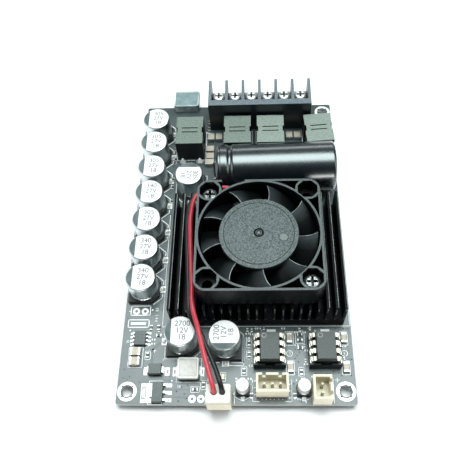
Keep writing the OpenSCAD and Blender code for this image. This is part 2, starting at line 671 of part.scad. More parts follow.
// Hub cup with a rim groove, a small mould ring, a centre ring and the blades
boss_l = 1;
boss_d = 4.6;
hub_groove = [1.5, 0.2, 0.2];
centre_ring = [1, 0.65, 0.4];
mould_ring = [1.35, 0.2, 0.12];
mould_ring_spot = [7.7, -1.7];
module ring_groove(inner_r, w, depth) {
    translate([0, 0, rotor_top - depth]) rotate_extrude($fn = 96) translate([inner_r, 0]) square([w, 1]);
}
module fan_rotor() {
    color([0.2, 0.22, 0.22])
    translate([fan_x, fan_y, fan_z]) {
        difference() {
            union() {
                translate([0, 0, rotor_z]) cylinder(d = hub_d, h = rotor_top - rotor_z, $fn = 96);
                for (b = [0 : blade_count - 1]) rotate(b * 360 / blade_count + blade_turn) blade();
            }
            translate([0, 0, rotor_z - cut])
                cylinder(r = hub_r - cup_wall, h = rotor_top - cup_roof - rotor_z + cut, $fn = 96);
            ring_groove(hub_r - hub_groove[0], hub_groove[1], hub_groove[2]);
            ring_groove(centre_ring[0], centre_ring[1], centre_ring[2]);
            translate(mould_ring_spot) ring_groove(mould_ring[0], mould_ring[1], mould_ring[2]);
            translate([0, 0, rotor_z]) bar(shaft_d, rotor_top - shaft_roof - rotor_z);
        }
        translate([0, 0, rotor_top - cup_roof - boss_l]) difference() {
            bar(boss_d, boss_l + cut);
            translate([0, 0, -cut]) bar(shaft_d, boss_l + 3 * cut);
        }
    }
}

module fan_magnet() {
    color([0.25, 0.25, 0.27])
    translate([fan_x, fan_y, fan_z + rotor_z + 0.3]) difference() {
        cylinder(r = hub_r - cup_wall, h = magnet_h, $fn = 96);
        translate([0, 0, -cut]) cylinder(r = hub_r - cup_wall - magnet_t, h = magnet_h + 2 * cut, $fn = 96);
    }
}
magnet_h = 4.6;

module fan_shaft() {
    color([0.75, 0.75, 0.77])
    translate([fan_x, fan_y, fan_z + strut_t]) bar(shaft_d, rotor_top - shaft_roof - strut_t);
}

module fan_bearing() {
    color([0.72, 0.55, 0.3])
    translate([fan_x, fan_y, fan_z + strut_t / 2]) difference() {
        bar(bearing_d, bearing_top - strut_t / 2);
        translate([0, 0, strut_t / 2]) bar(shaft_d + 2 * shaft_gap, fan_h);
    }
}

// Four-pole stator round the bearing tube
stator_l = 4;
winding_t = 1.5;
pole_w = 3.4;
pole_lift = 0.6;
module fan_stator() {
    pole_reach = hub_r - cup_wall - magnet_t - 0.5;
    color([0.6, 0.36, 0.2])
    translate([fan_x, fan_y, fan_z + strut_t]) difference() {
        union() {
            bar(bearing_tube_d + 2 * winding_t, stator_l);
            for (a = [45 : 90 : 315]) rotate(a)
                translate([0, -pole_w / 2, pole_lift]) cube([pole_reach - 1, pole_w, stator_l - 2 * pole_lift]);
        }
        translate([0, 0, -cut]) bar(bearing_tube_d + 2 * stator_gap, stator_l + 2 * cut);
    }
}

module fan_screws() {
    color([0.7, 0.7, 0.72])
    for (c = fan_screw_corners)
        translate([fan_x + c[0], fan_y + c[1], fan_z + flange_t])
            pan_screw(fan_screw_head_d, fan_screw_head_t, fan_screw_shank_d, flange_t + fan_screw_grip);
}

module fan_lead_red() {
    color([0.85, 0.27, 0.33]) tube(red_route, lead_d);
}

module fan_lead_black() {
    color([0.06, 0.06, 0.06]) tube(black_route, lead_d);
}

// Upright header shell with two slots in its rear wall
module header_shell(pins) {
    w = header_width(pins);
    difference() {
        block(w, header_l, header_h);
        translate([0, 0, header_floor])
            block(w - 2 * header_wall, header_l - 2 * header_wall, header_h);
        for (x = [-1, 1])
            translate([x * w / 4, header_l / 2, header_h * 0.55]) block(1.1, 2 * header_wall + cut, header_h);
        for (p = pin_row(pins))
            translate([p, 0, -cut]) block(pin_w + 2 * plug_room, pin_w + 2 * plug_room, header_h);
    }
}
function header_width(pins) = (pins - 1) * header_pitch + 2 * header_end;

module fan_header() {
    color([0.9, 0.87, 0.76]) translate([fan_plug_spot[0], fan_plug_spot[1], top]) header_shell(2);
}

module signal_header() {
    color([0.9, 0.87, 0.76]) translate([signal_spot[0], signal_spot[1], top]) header_shell(3);
}

module side_header() {
    color([0.9, 0.87, 0.76])
    translate([side_spot[0], side_spot[1], top]) rotate(-90) header_shell(2);
}

// Square pins of all three headers, with tails through the board
module header_pins() {
    color([0.8, 0.78, 0.7])
    for (p = header_pin_spots())
        translate([p[0], p[1], -tail_l]) block(pin_w, pin_w, tail_l + board_t + pin_rise);
}

// Plug housing: a lower part inside the header and a cap on the header's rim
module fan_plug() {
    insert_h = header_h - header_floor - plug_room;
    w = header_width(2);
    color([0.93, 0.92, 0.88])
    translate([fan_plug_spot[0], fan_plug_spot[1], top + header_h]) difference() {
        union() {
            translate([0, 0, -insert_h])
                block(w - 2 * (header_wall + plug_room), header_l - 2 * (header_wall + plug_room),
                      insert_h + cut);
            linear_extrude(plug_cap_h) rounded_rect(w - 0.3, header_l - 0.3, 0.4);
        }
        for (p = pin_row(2)) {
            translate([p, 0, -insert_h - cut])
                block(pin_w + 2 * plug_room, pin_w + 2 * plug_room,
                      insert_h + pin_rise - header_h + plug_room + cut);
            translate([p, plug_hole_y, plug_cap_h - plug_hole_depth]) bar(plug_hole_d, plug_hole_depth + cut);
        }
    }
}

// Lying capacitor: everything along its own axis, sealed end first
module along_reservoir() {
    translate([reservoir_x, reservoir_y, top + reservoir_lift + reservoir_d / 2])
        rotate([0, 0, reservoir_turn]) rotate([0, 90, 0]) translate([0, 0, -reservoir_l / 2]) children();
}

// Crimp round the can: a round groove that runs out over two round shoulders
module crimp_profile() {
    reach = groove_r + groove_shoulder_r;
    rise = reach - groove_depth;
    half = sqrt(reach * reach - rise * rise);
    touch = groove_shoulder_r / reach;
    translate([groove_r - groove_depth, 0]) circle(groove_r);
    difference() {
        polygon([[cut, -half], [0, -half], [touch * rise - groove_shoulder_r, (touch - 1) * half],
                 [touch * rise - groove_shoulder_r, (1 - touch) * half], [0, half], [cut, half]]);
        for (side = [-1, 1]) translate([-groove_shoulder_r, side * half]) circle(groove_shoulder_r);
    }
}

module reservoir_can() {
    r = reservoir_d / 2;
    edge = 1.2;
    color([0.05, 0.05, 0.06])
    along_reservoir() difference() {
        rotate_extrude($fn = 72) difference() {
            union() {
                translate([0, edge]) square([r, reservoir_l - 2 * edge]);
                square([r - edge, reservoir_l]);
                translate([r - edge, edge]) circle(edge);
                translate([r - edge, reservoir_l - edge]) circle(edge);
            }
            translate([r, groove_inset]) crimp_profile();
            translate([r + sleeve_line_r - sleeve_line_depth, sleeve_line_inset]) circle(sleeve_line_r);
        }
        translate([0, 0, -cut]) cylinder(r = r - seal_inset, h = seal_depth + cut, $fn = 72);
    }
}
groove_inset = 5;
groove_depth = 0.55;
groove_r = 1;
groove_shoulder_r = 1.2;
sleeve_line_inset = 1.6;
sleeve_line_depth = 0.12;
sleeve_line_r = 0.25;
seal_inset = 1.6;
seal_depth = 2;

module reservoir_seal() {
    color([0.12, 0.12, 0.12])
    along_reservoir() translate([0, 0, 0.8]) difference() {
        cylinder(r = reservoir_d / 2 - seal_inset, h = seal_depth - 0.8, $fn = 72);
        for (side = [-1, 1])
            translate([0, side * reservoir_lead_pitch / 2, -cut]) bar(reservoir_lead_d, seal_depth);
    }
}

// Two leads that bend down from the seal into the board
module reservoir_leads() {
    drop = top + reservoir_lift + reservoir_d / 2 + tail_l;
    color([0.75, 0.75, 0.76])
    translate([reservoir_x, reservoir_y, 0]) rotate(reservoir_turn)
        for (side = [-1, 1])
            translate([-reservoir_l / 2, side * reservoir_lead_pitch / 2, drop - tail_l]) {
                translate([seal_depth, 0, 0]) rotate([0, -90, 0])
                    bar(reservoir_lead_d, seal_depth + reservoir_lead_out - lead_bend_r);
                translate([lead_bend_r - reservoir_lead_out, 0, -lead_bend_r]) rotate([90, 0, 0])
                    rotate_extrude(angle = 90, start = 90) translate([lead_bend_r, 0])
                        circle(d = reservoir_lead_d);
                translate([-reservoir_lead_out, 0, -drop]) bar(reservoir_lead_d, drop - lead_bend_r);
            }
}

// Aluminium can with a crimped waist and a rounded top edge
module can(d, h) {
    r = d / 2;
    edge = d * 0.05;
    rotate_extrude($fn = 64) difference() {
        union() {
            square([r, h - edge]);
            square([r - edge, h]);
            translate([r - edge, h - edge]) circle(edge);
        }
        translate([r + waist_r - waist_depth, h * 0.16]) circle(waist_r);
    }
}
waist_r = 0.8;
waist_depth = 0.25;

module large_can(spot) {
    color([0.85, 0.86, 0.87]) translate([spot[0], spot[1], can_floor]) can(can_d, can_h + top - can_floor);
}
module rail_cans() { for (s = rail_spots()) large_can(s); }
module filter_can_1() { large_can(filter_spots[0]); }
module filter_can_2() { large_can(filter_spots[1]); }
module filter_can_3() { large_can(filter_spots[2]); }

module small_cans() {
    color([0.85, 0.86, 0.87])
    for (s = small_spots)
        translate([s[0], s[1], can_floor]) can(small_can_d, small_can_h + top - can_floor);
}

// Square moulded base with two cut corners on its +x side
module can_base(w, chamfer) {
    translate([0, 0, top + tab_t]) linear_extrude(can_base_t)
        polygon([[-w / 2, -w / 2], [w / 2 - chamfer, -w / 2], [w / 2, -w / 2 + chamfer],
                 [w / 2, w / 2 - chamfer], [w / 2 - chamfer, w / 2], [-w / 2, w / 2]]);
}

module can_bases() {
    color([0.07, 0.07, 0.08]) {
        for (s = large_spots()) translate([s[0], s[1]]) rotate(s[2]) can_base(can_base_w, 2.4);
        for (s = small_spots) translate(s) rotate(90) can_base(small_base_w, 1);
    }
}

// A pair of flat solder tabs under each base
module tab_pair(w, tab_w, reach) {
    for (side = [0, 1])
        mirror([side, 0]) translate([w * 0.22, -tab_w / 2, top]) cube([w * 0.28 + reach, tab_w, tab_t]);
}

module can_tabs() {
    color([0.8, 0.8, 0.78]) {
        for (s = large_spots()) translate([s[0], s[1]]) rotate(s[2]) tab_pair(can_base_w, 1.2, 0.45);
        for (s = small_spots) translate(s) rotate(90) tab_pair(small_base_w, 0.8, 0.7);
    }
}

// Moulded power inductor with two grooves across its top and a notch in each side
module inductor(spot) {
    groove = 0.45;
    color([0.2, 0.22, 0.2])
    translate([spot[0], spot[1], top]) rotate(spot[2]) difference() {
        block(coil_w, coil_l, coil_h);
        for (y = [-1, 1])
            translate([0, y * coil_l * 0.075, coil_h - groove]) block(coil_w * 0.6, groove, groove + cut);
        for (x = [-1, 1])
            translate([x * coil_w / 2, 0, -cut]) block(1, coil_l * 0.2, coil_h + 2 * cut);
        for (x = [-1, 1], y = [-1, 1])
            translate([x * coil_pin_x, y * coil_pin_y, -cut]) bar(coil_pin_d, coil_pin_in + cut);
    }
}
coil_pin_in = 1.5;
module inductor_1() { inductor(coil_spots[0]); }
module inductor_2() { inductor(coil_spots[1]); }
module inductor_3() { inductor(coil_spots[2]); }
module inductor_4() { inductor(coil_spots[3]); }

module inductor_pins() {
    color([0.8, 0.8, 0.78])
    for (p = coil_pins())
        translate([p[0], p[1], -tail_l]) bar(coil_pin_d, tail_l + board_t + coil_pin_in);
}

// Barrier strip: stepped front ridge, a partition beside each cell, open to the rear
module terminal_block() {
    well = term_screw_d + 0.5;
    color([0.08, 0.09, 0.11])
    difference() {
        translate([term_x - term_w / 2, 0, top]) {
            translate([0, term_front + term_step, 0]) cube([term_w, term_l - term_step, term_floor_h]);
            translate([0, term_front + term_step, 0]) cube([term_w, term_ridge_t - term_step, term_h]);
            translate([0, term_front, term_step_h]) cube([term_w, term_ridge_t, term_h - term_step_h]);
            for (i = [0 : term_ways])
                translate([i * term_pitch, term_front + term_step, 0])
                    cube([term_wall, term_l - term_step, term_h]);
        }
        for (i = [0 : term_ways - 1]) {
            translate([term_cell_x(i), term_screw_y, top + term_well_floor])
                bar(well, term_floor_h);
            translate([term_cell_x(i), term_pin_y, top - cut])
                bar(term_pin_d + 2 * lead_gap, term_floor_h + 2 * cut);
        }
    }
}

// Tin plate in each cell, tapped for its screw, with a pin down through the strip and board
plate_front_gap = 0.4;
plate_rear_gap = 0.3;
module terminal_contacts() {
    plate_front = term_front + term_ridge_t + plate_front_gap;
    plate_l = term_rear - plate_front - plate_rear_gap;
    color([0.78, 0.78, 0.76])
    for (i = [0 : term_ways - 1]) translate([term_cell_x(i), 0, 0]) {
        difference() {
            translate([-plate_w / 2, plate_front, plate_z]) cube([plate_w, plate_l, plate_t]);
            translate([0, term_screw_y, plate_z - cut])
                bar(term_screw_d + 2 * thread_gap, plate_t + 2 * cut);
        }
        translate([0, term_pin_y, -tail_l]) bar(term_pin_d, plate_z + tail_l + cut);
    }
}

// Square washer held under each terminal screw
module terminal_clamp(i) {
    w = cell_w - 2 * clamp_gap;
    color([0.75, 0.75, 0.74])
    translate([term_cell_x(i), term_screw_y, clamp_z]) difference() {
        block(w, w + 0.6, clamp_t);
        translate([0, 0, -cut]) bar(term_screw_d + 2 * lead_gap, clamp_t + 2 * cut);
    }
}

module terminal_screw(i) {
    color([0.8, 0.8, 0.8])
    translate([term_cell_x(i), term_screw_y, head_z])
        pan_screw(term_head_d, term_head_t, term_screw_d, term_shank + clamp_t + plate_t);
}

// Dual in-line chip with a dimple by its first pin
module opamp(x) {
    color([0.16, 0.17, 0.17])
    translate([x, dip_y, dip_z]) difference() {
        chip_body(dip_w, dip_l, dip_h, 0.35);
        translate([-dip_w / 2 + 1.5, dip_l / 2 - 1.5, dip_h - 0.15]) bar(1.1, 1);
    }
}
module opamp_1() { opamp(dip_x[0]); }
module opamp_2() { opamp(dip_x[1]); }

// Chip legs: a wide shoulder beside the body, then a narrow tip down into the socket
leg_t = 0.25;
leg_w = 1.4;
leg_tip_w = 0.5;
leg_tip_in = 2.4;
module opamp_legs() {
    mid = dip_h / 2;
    color([0.82, 0.81, 0.76])
    for (p = dip_pins())
        translate([p[0], p[2], dip_z]) mirror([p[1] < 0 ? 1 : 0, 0]) {
            translate([dip_w / 2, -leg_w / 2, mid - leg_t / 2])
                cube([dip_row - dip_w / 2 + leg_t / 2, leg_w, leg_t]);
            translate([dip_row - leg_t / 2, -leg_w / 2, -0.2]) cube([leg_t, leg_w, mid + 0.2]);
            translate([dip_row - leg_t / 2, -leg_tip_w / 2, -leg_tip_in])
                cube([leg_t, leg_tip_w, leg_tip_in]);
        }
}

// Open frame sockets with one well for each leg
contact_w = 0.5;
contact_t = 0.3;
well_x = 1.3;
module chip_sockets() {
    color([0.06, 0.06, 0.07])
    for (x = dip_x) translate([x, dip_y, top]) difference() {
        block(socket_w, socket_w, socket_h);
        translate([0, 0, -cut]) block(dip_row * 2 - 2.8, socket_w - 3, socket_h + 2 * cut);
        for (y = [-1, 1])
            translate([0, y * socket_w / 2, socket_h * 0.6]) block(3, 1.6, socket_h);
        for (side = [-1, 1], i = [-1.5 : 1 : 1.5])
            translate([side * dip_row, i * dip_pitch, -cut]) block(well_x, 1, socket_h + 2 * cut);
    }
}

// Spring strip in each well, with its tail through the board
module socket_contacts() {
    strip_x = dip_row + leg_t / 2 + 0.08;
    color([0.8, 0.76, 0.62])
    for (p = dip_pins())
        translate([p[0], p[2], 0]) mirror([p[1] < 0 ? 1 : 0, 0]) {
            translate([strip_x, -contact_w / 2, top + 0.3]) cube([contact_t, contact_w, socket_h - 0.3]);
            translate([dip_row - contact_w / 2, -contact_w / 2, top + 0.3])
                cube([strip_x + contact_t - dip_row + contact_w / 2, contact_w, contact_t]);
            translate([dip_row, 0, -tail_l]) block(contact_w, contact_w, tail_l + top + 0.3 + cut);
        }
}

// Folded metal shell of the rear socket, closed at the front and open past the rear edge
module edge_socket() {
    color([0.66, 0.7, 0.72])
    translate([edge_socket_x, edge_socket_y, top + edge_socket_h / 2]) difference() {
        rotate([-90, 0, 0]) linear_extrude(edge_socket_l) rounded_rect(edge_socket_w, edge_socket_h, shell_r);
        translate([0, shell_t, 0]) rotate([-90, 0, 0]) linear_extrude(edge_socket_l)
            rounded_rect(edge_socket_w - 2 * shell_t, edge_socket_h - 2 * shell_t, shell_r - shell_t);
        for (side = [-1, 1])
            translate([side * edge_socket_w / 2, 0, -edge_socket_h]) rotate(45)
                block(shell_chamfer, shell_chamfer, 2 * edge_socket_h);
    }
}
shell_chamfer = 1.5;

// Insulator inside the rear socket: a rear wall with a thin tongue
tongue_root_l = 1.8;
tongue_recess = 3.4;
tongue_side_gap = 0.3;
tongue_t = 0.7;
module edge_socket_tongue() {
    inner_w = edge_socket_w - 2 * shell_t - 2 * plug_room;
    inner_h = edge_socket_h - 2 * shell_t - 2 * plug_room;
    color([0.1, 0.1, 0.1])
    translate([edge_socket_x, edge_socket_y + shell_chamfer + shell_t, top + edge_socket_h / 2]) {
        translate([0, tongue_root_l / 2, -inner_h / 2]) block(inner_w - 2 * shell_r, tongue_root_l, inner_h);
        translate([0, edge_socket_l / 2 - tongue_root_l / 2, -tongue_t / 2])
            block(inner_w - 2 * shell_r - 2 * tongue_side_gap, edge_socket_l - tongue_recess, tongue_t);
    }
}

module supply_inductor() {
    color([0.86, 0.83, 0.76])
    translate([buck_spot[0], buck_spot[1], top]) {
        linear_extrude(0.6) rounded_rect(buck_w - 0.6, buck_w - 0.6, 0.6);
        translate([0, 0, 0.6 - cut]) linear_extrude(buck_h - 0.6 + cut) rounded_rect(buck_w, buck_w, 0.7);
    }
}

// Moulded bodies of the driver chip, the rectifier and the regulator
diode_size = [4.4, 3.6, 2.1];
diode_leg_w = 2;
regulator_size = [3.5, 6.4, 1.6];
regulator_pitch = 2.3;
leg_stand = 0.1;
module power_chips() {
    color([0.2, 0.22, 0.22]) {
        translate([soic_spot[0], soic_spot[1], top + leg_stand])
            chip_body(soic_size[0], soic_size[1], soic_size[2], 0.15);
        translate([diode_spot[0], diode_spot[1], top + leg_stand])
            chip_body(diode_size[0], diode_size[1], diode_size[2], 0.2);
        translate([regulator_spot[0], regulator_spot[1], top + leg_stand])
            chip_body(regulator_size[0], regulator_size[1], regulator_size[2], 0.15);
    }
}

// Bent leads and tabs of those three, the amplifier chip's lead rows and the inductor's end tabs
module chip_legs() {
    color([0.8, 0.8, 0.78]) {
        for (side = [0, 1], i = [-1.5 : 1 : 1.5])
            translate([soic_spot[0], soic_spot[1] + i * 1.27, top]) mirror([side, 0])
                translate([soic_size[0] / 2, 0, 0])
                    gull_leg(soic_leg, leg_stand + soic_size[2] / 2 + 0.1, 0.42, 0.2);
        for (side = [0, 1])
            translate([diode_spot[0], diode_spot[1], top]) mirror([side, 0])
                translate([diode_size[0] / 2, 0, 0])
                    gull_leg(0.6, leg_stand + diode_size[2] / 2 + 0.1, diode_leg_w, 0.2);
        for (i = [-1, 0, 1])
            translate([regulator_spot[0] + regulator_size[0] / 2, regulator_spot[1] + i * regulator_pitch, top])
                gull_leg(1.5, leg_stand + regulator_size[2] / 2 + 0.1, 0.75, 0.25);
        translate([regulator_spot[0] - regulator_size[0] / 2, regulator_spot[1], top]) mirror([1, 0])
            gull_leg(1.6, leg_stand + regulator_size[2] / 2 + 0.1, 3, 0.25);
        for (side = [0, 1], i = [-5 : 5])
            translate([sink_x + i * 1.2, sink_y, top]) rotate(side * 180 + 90)
                translate([chip_l / 2, 0, 0]) gull_leg(0.9, chip_h / 2, 0.5, 0.15);
        for (side = [0, 1])
            translate([buck_spot[0], buck_spot[1], top]) mirror([side, 0])
                translate([buck_w / 2 - 0.3, -1.4, 0]) cube([0.9, 2.8, 0.25]);
    }
}

// A chip component lies on its two end caps: the body sits between them
module chip_core(spot, l, w, h) {
    translate([spot[0], spot[1], top + 0.04]) rotate(spot[2]) block(l * 0.64, w, h - 0.08);
}
module chip_cap_pair(spot, l, w, h) {
    translate([spot[0], spot[1], top]) rotate(spot[2])
        for (side = [0, 1])
            mirror([side, 0]) translate([l * 0.32, -w / 2 - 0.03, 0]) cube([l * 0.18, w + 0.06, h]);
}

module ceramic_capacitors() {
    color([0.78, 0.66, 0.52]) {
        for (s = ceramic_spots) chip_core(s, ceramic_size[0], ceramic_size[1], ceramic_size[2]);
        for (s = long_chip_spots) chip_core(s, long_chip_size[0], long_chip_size[1], long_chip_size[2]);
    }
}

module chip_resistors() {
    color([0.13, 0.13, 0.14])
    for (s = small_chip_spots) chip_core(s, small_chip_size[0], small_chip_size[1], small_chip_size[2]);
}

module chip_ends() {
    color([0.82, 0.82, 0.8]) {
        for (s = ceramic_spots) chip_cap_pair(s, ceramic_size[0], ceramic_size[1], ceramic_size[2]);
        for (s = long_chip_spots) chip_cap_pair(s, long_chip_size[0], long_chip_size[1], long_chip_size[2]);
        for (s = small_chip_spots)
            chip_cap_pair(s, small_chip_size[0], small_chip_size[1], small_chip_size[2]);
    }
}

circuit_board();
heatsink();
heatsink_screws();
amplifier_chip();
fan_frame();
fan_rotor();
fan_magnet();
fan_shaft();
fan_bearing();
fan_stator();
fan_screws();
fan_lead_red();
fan_lead_black();
fan_plug();
fan_header();
reservoir_can();
reservoir_seal();
reservoir_leads();
rail_cans();
filter_can_1();
filter_can_2();
filter_can_3();
small_cans();
can_bases();
can_tabs();
inductor_1();
inductor_2();
inductor_3();
inductor_4();
inductor_pins();
terminal_block();
terminal_contacts();
for (i = [0 : term_ways - 1]) {
    terminal_clamp(i);
    terminal_screw(i);
}
opamp_1();
opamp_2();
opamp_legs();
chip_sockets();
socket_contacts();
signal_header();
side_header();
header_pins();
edge_socket();
edge_socket_tongue();
supply_inductor();
power_chips();
chip_legs();
ceramic_capacitors();
chip_resistors();
chip_ends();
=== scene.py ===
import json
import math
import random

import bmesh
import bpy
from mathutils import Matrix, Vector


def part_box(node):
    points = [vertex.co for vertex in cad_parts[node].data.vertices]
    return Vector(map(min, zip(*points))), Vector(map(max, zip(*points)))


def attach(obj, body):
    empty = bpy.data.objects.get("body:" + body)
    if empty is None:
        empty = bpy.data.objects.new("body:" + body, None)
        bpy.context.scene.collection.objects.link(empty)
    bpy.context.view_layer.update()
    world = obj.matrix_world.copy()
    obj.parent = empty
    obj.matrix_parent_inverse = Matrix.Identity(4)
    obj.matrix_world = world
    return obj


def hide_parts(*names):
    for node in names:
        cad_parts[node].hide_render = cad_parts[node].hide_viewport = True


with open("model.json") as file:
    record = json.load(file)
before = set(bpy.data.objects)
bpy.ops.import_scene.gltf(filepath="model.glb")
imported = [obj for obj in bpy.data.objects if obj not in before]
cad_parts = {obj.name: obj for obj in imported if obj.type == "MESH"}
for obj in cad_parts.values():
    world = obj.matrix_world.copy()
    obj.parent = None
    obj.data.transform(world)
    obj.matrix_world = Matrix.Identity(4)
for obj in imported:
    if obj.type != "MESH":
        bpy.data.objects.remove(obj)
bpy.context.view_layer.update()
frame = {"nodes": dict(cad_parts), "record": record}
nodes = frame["nodes"]
mm = 0.001
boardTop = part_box("circuit_board")[1].z
print("frame loaded:", len(nodes), "nodes")


# shader helpers

def link(tree, source, target):
    tree.links.new(source, target)


def addNode(tree, kind, **settings):
    node = tree.nodes.new(kind)
    for key, value in settings.items():
        setattr(node, key, value)
    return node


def makeGrainGroup():
    tree = bpy.data.node_groups.new("surfaceGrain", "ShaderNodeTree")
    face = tree.interface
    for label, kind, value in (("base", "NodeSocketColor", (0.5, 0.5, 0.5, 1)),
                               ("vary", "NodeSocketColor", (0.5, 0.5, 0.5, 1)),
                               ("scale", "NodeSocketFloat", 900.0), ("rough", "NodeSocketFloat", 0.5),
                               ("roughVary", "NodeSocketFloat", 0.1), ("bump", "NodeSocketFloat", 0.1)):
        face.new_socket(label, in_out="INPUT", socket_type=kind).default_value = value
    for label, kind in (("color", "NodeSocketColor"), ("roughness", "NodeSocketFloat"),
                        ("normal", "NodeSocketVector")):
        face.new_socket(label, in_out="OUTPUT", socket_type=kind)
    inside, outside = addNode(tree, "NodeGroupInput"), addNode(tree, "NodeGroupOutput")
    place = addNode(tree, "ShaderNodeTexCoord")
    broad = addNode(tree, "ShaderNodeTexNoise")
    fine = addNode(tree, "ShaderNodeTexNoise")
    broad.inputs["Detail"].default_value = 4
    fine.inputs["Detail"].default_value = 2
    wider = addNode(tree, "ShaderNodeMath", operation="MULTIPLY")
    wider.inputs[1].default_value = 5.0
    contrast = addNode(tree, "ShaderNodeMapRange")
    contrast.inputs["From Min"].default_value = 0.36
    contrast.inputs["From Max"].default_value = 0.64
    mix = addNode(tree, "ShaderNodeMix", data_type="RGBA")
    centred = addNode(tree, "ShaderNodeMath", operation="SUBTRACT")
    centred.inputs[1].default_value = 0.5
    spread = addNode(tree, "ShaderNodeMath", operation="MULTIPLY_ADD")
    bump = addNode(tree, "ShaderNodeBump")
    bump.inputs["Distance"].default_value = 0.0001
    link(tree, place.outputs["Object"], broad.inputs["Vector"])
    link(tree, place.outputs["Object"], fine.inputs["Vector"])
    link(tree, inside.outputs["scale"], broad.inputs["Scale"])
    link(tree, inside.outputs["scale"], wider.inputs[0])
    link(tree, wider.outputs[0], fine.inputs["Scale"])
    link(tree, broad.outputs["Fac"], contrast.inputs["Value"])
    link(tree, contrast.outputs["Result"], mix.inputs["Factor"])
    link(tree, inside.outputs["base"], mix.inputs["A"])
    link(tree, inside.outputs["vary"], mix.inputs["B"])
    link(tree, broad.outputs["Fac"], centred.inputs[0])
    link(tree, centred.outputs[0], spread.inputs[0])
    link(tree, inside.outputs["roughVary"], spread.inputs[1])
    link(tree, inside.outputs["rough"], spread.inputs[2])
    link(tree, fine.outputs["Fac"], bump.inputs["Height"])
    link(tree, inside.outputs["bump"], bump.inputs["Strength"])
    link(tree, mix.outputs["Result"], outside.inputs["color"])
    link(tree, spread.outputs[0], outside.inputs["roughness"])
    link(tree, bump.outputs["Normal"], outside.inputs["normal"])
    return tree


grainGroup = makeGrainGroup()


def makeBandGroup():
    tree = bpy.data.node_groups.new("heightBand", "ShaderNodeTree")
    face = tree.interface
    for label, value in (("low", 0.0), ("high", 1.0)):
        face.new_socket(label, in_out="INPUT", socket_type="NodeSocketFloat").default_value = value
    face.new_socket("mask", in_out="OUTPUT", socket_type="NodeSocketFloat")
    inside, outside = addNode(tree, "NodeGroupInput"), addNode(tree, "NodeGroupOutput")
    place = addNode(tree, "ShaderNodeTexCoord")
    parts = addNode(tree, "ShaderNodeSeparateXYZ")
    ramp = addNode(tree, "ShaderNodeMapRange")
    link(tree, place.outputs["Object"], parts.inputs[0])
    link(tree, parts.outputs["Z"], ramp.inputs["Value"])
    link(tree, inside.outputs["low"], ramp.inputs["From Min"])
    link(tree, inside.outputs["high"], ramp.inputs["From Max"])
    link(tree, ramp.outputs["Result"], outside.inputs["mask"])
    return tree


bandGroup = makeBandGroup()


def makeFinish(name, look):
    mat = bpy.data.materials.new(name)
    mat.use_nodes = True
    tree = mat.node_tree
    tree.nodes.clear()
    out = addNode(tree, "ShaderNodeOutputMaterial")
    shader = addNode(tree, "ShaderNodeBsdfPrincipled")
    grain = addNode(tree, "ShaderNodeGroup", node_tree=grainGroup)
    grain.inputs["base"].default_value = (*look["base"], 1)
    grain.inputs["vary"].default_value = (*look.get("vary", [c * 1.3 for c in look["base"]]), 1)
    grain.inputs["scale"].default_value = look.get("scale", 900)
    grain.inputs["rough"].default_value = look["rough"]
    grain.inputs["roughVary"].default_value = look.get("roughVary", 0.12)
    grain.inputs["bump"].default_value = look.get("bump", 0.1)
    shader.inputs["Metallic"].default_value = look.get("metal", 0.0)
    shader.inputs["Coat Weight"].default_value = look.get("coat", 0.0)
    shader.inputs["Coat Roughness"].default_value = look.get("coatRough", 0.1)
    shader.inputs["Specular IOR Level"].default_value = look.get("specular", 0.5)
    shader.inputs["Specular Tint"].default_value = (*look.get("specTint", (1, 1, 1)), 1)
    shader.inputs["Subsurface Weight"].default_value = look.get("soft", 0.0)
    shader.inputs["Subsurface Radius"].default_value = (1.0, 0.95, 0.8)
    shader.inputs["Subsurface Scale"].default_value = 0.001
    link(tree, grain.outputs["roughness"], shader.inputs["Roughness"])
    link(tree, grain.outputs["normal"], shader.inputs["Normal"])
    color = grain.outputs["color"]
    for level in [key for key in ("mid", "top") if key in look]:  # another colour above a height
        band = addNode(tree, "ShaderNodeGroup", node_tree=bandGroup)
        band.inputs["low"].default_value, band.inputs["high"].default_value = look[level + "Band"]
        mix = addNode(tree, "ShaderNodeMix", data_type="RGBA")
        levelGrain = addNode(tree, "ShaderNodeGroup", node_tree=grainGroup)
        levelGrain.inputs["base"].default_value = (*look[level], 1)
        levelGrain.inputs["vary"].default_value = (*look[level + "Vary"], 1)
        levelGrain.inputs["scale"].default_value = look.get("scale", 900)
        link(tree, levelGrain.outputs["color"], mix.inputs["B"])
        link(tree, band.outputs["mask"], mix.inputs["Factor"])
        link(tree, color, mix.inputs["A"])
        color = mix.outputs["Result"]
    link(tree, color, shader.inputs["Base Color"])
    link(tree, shader.outputs[0], out.inputs[0])
    return mat


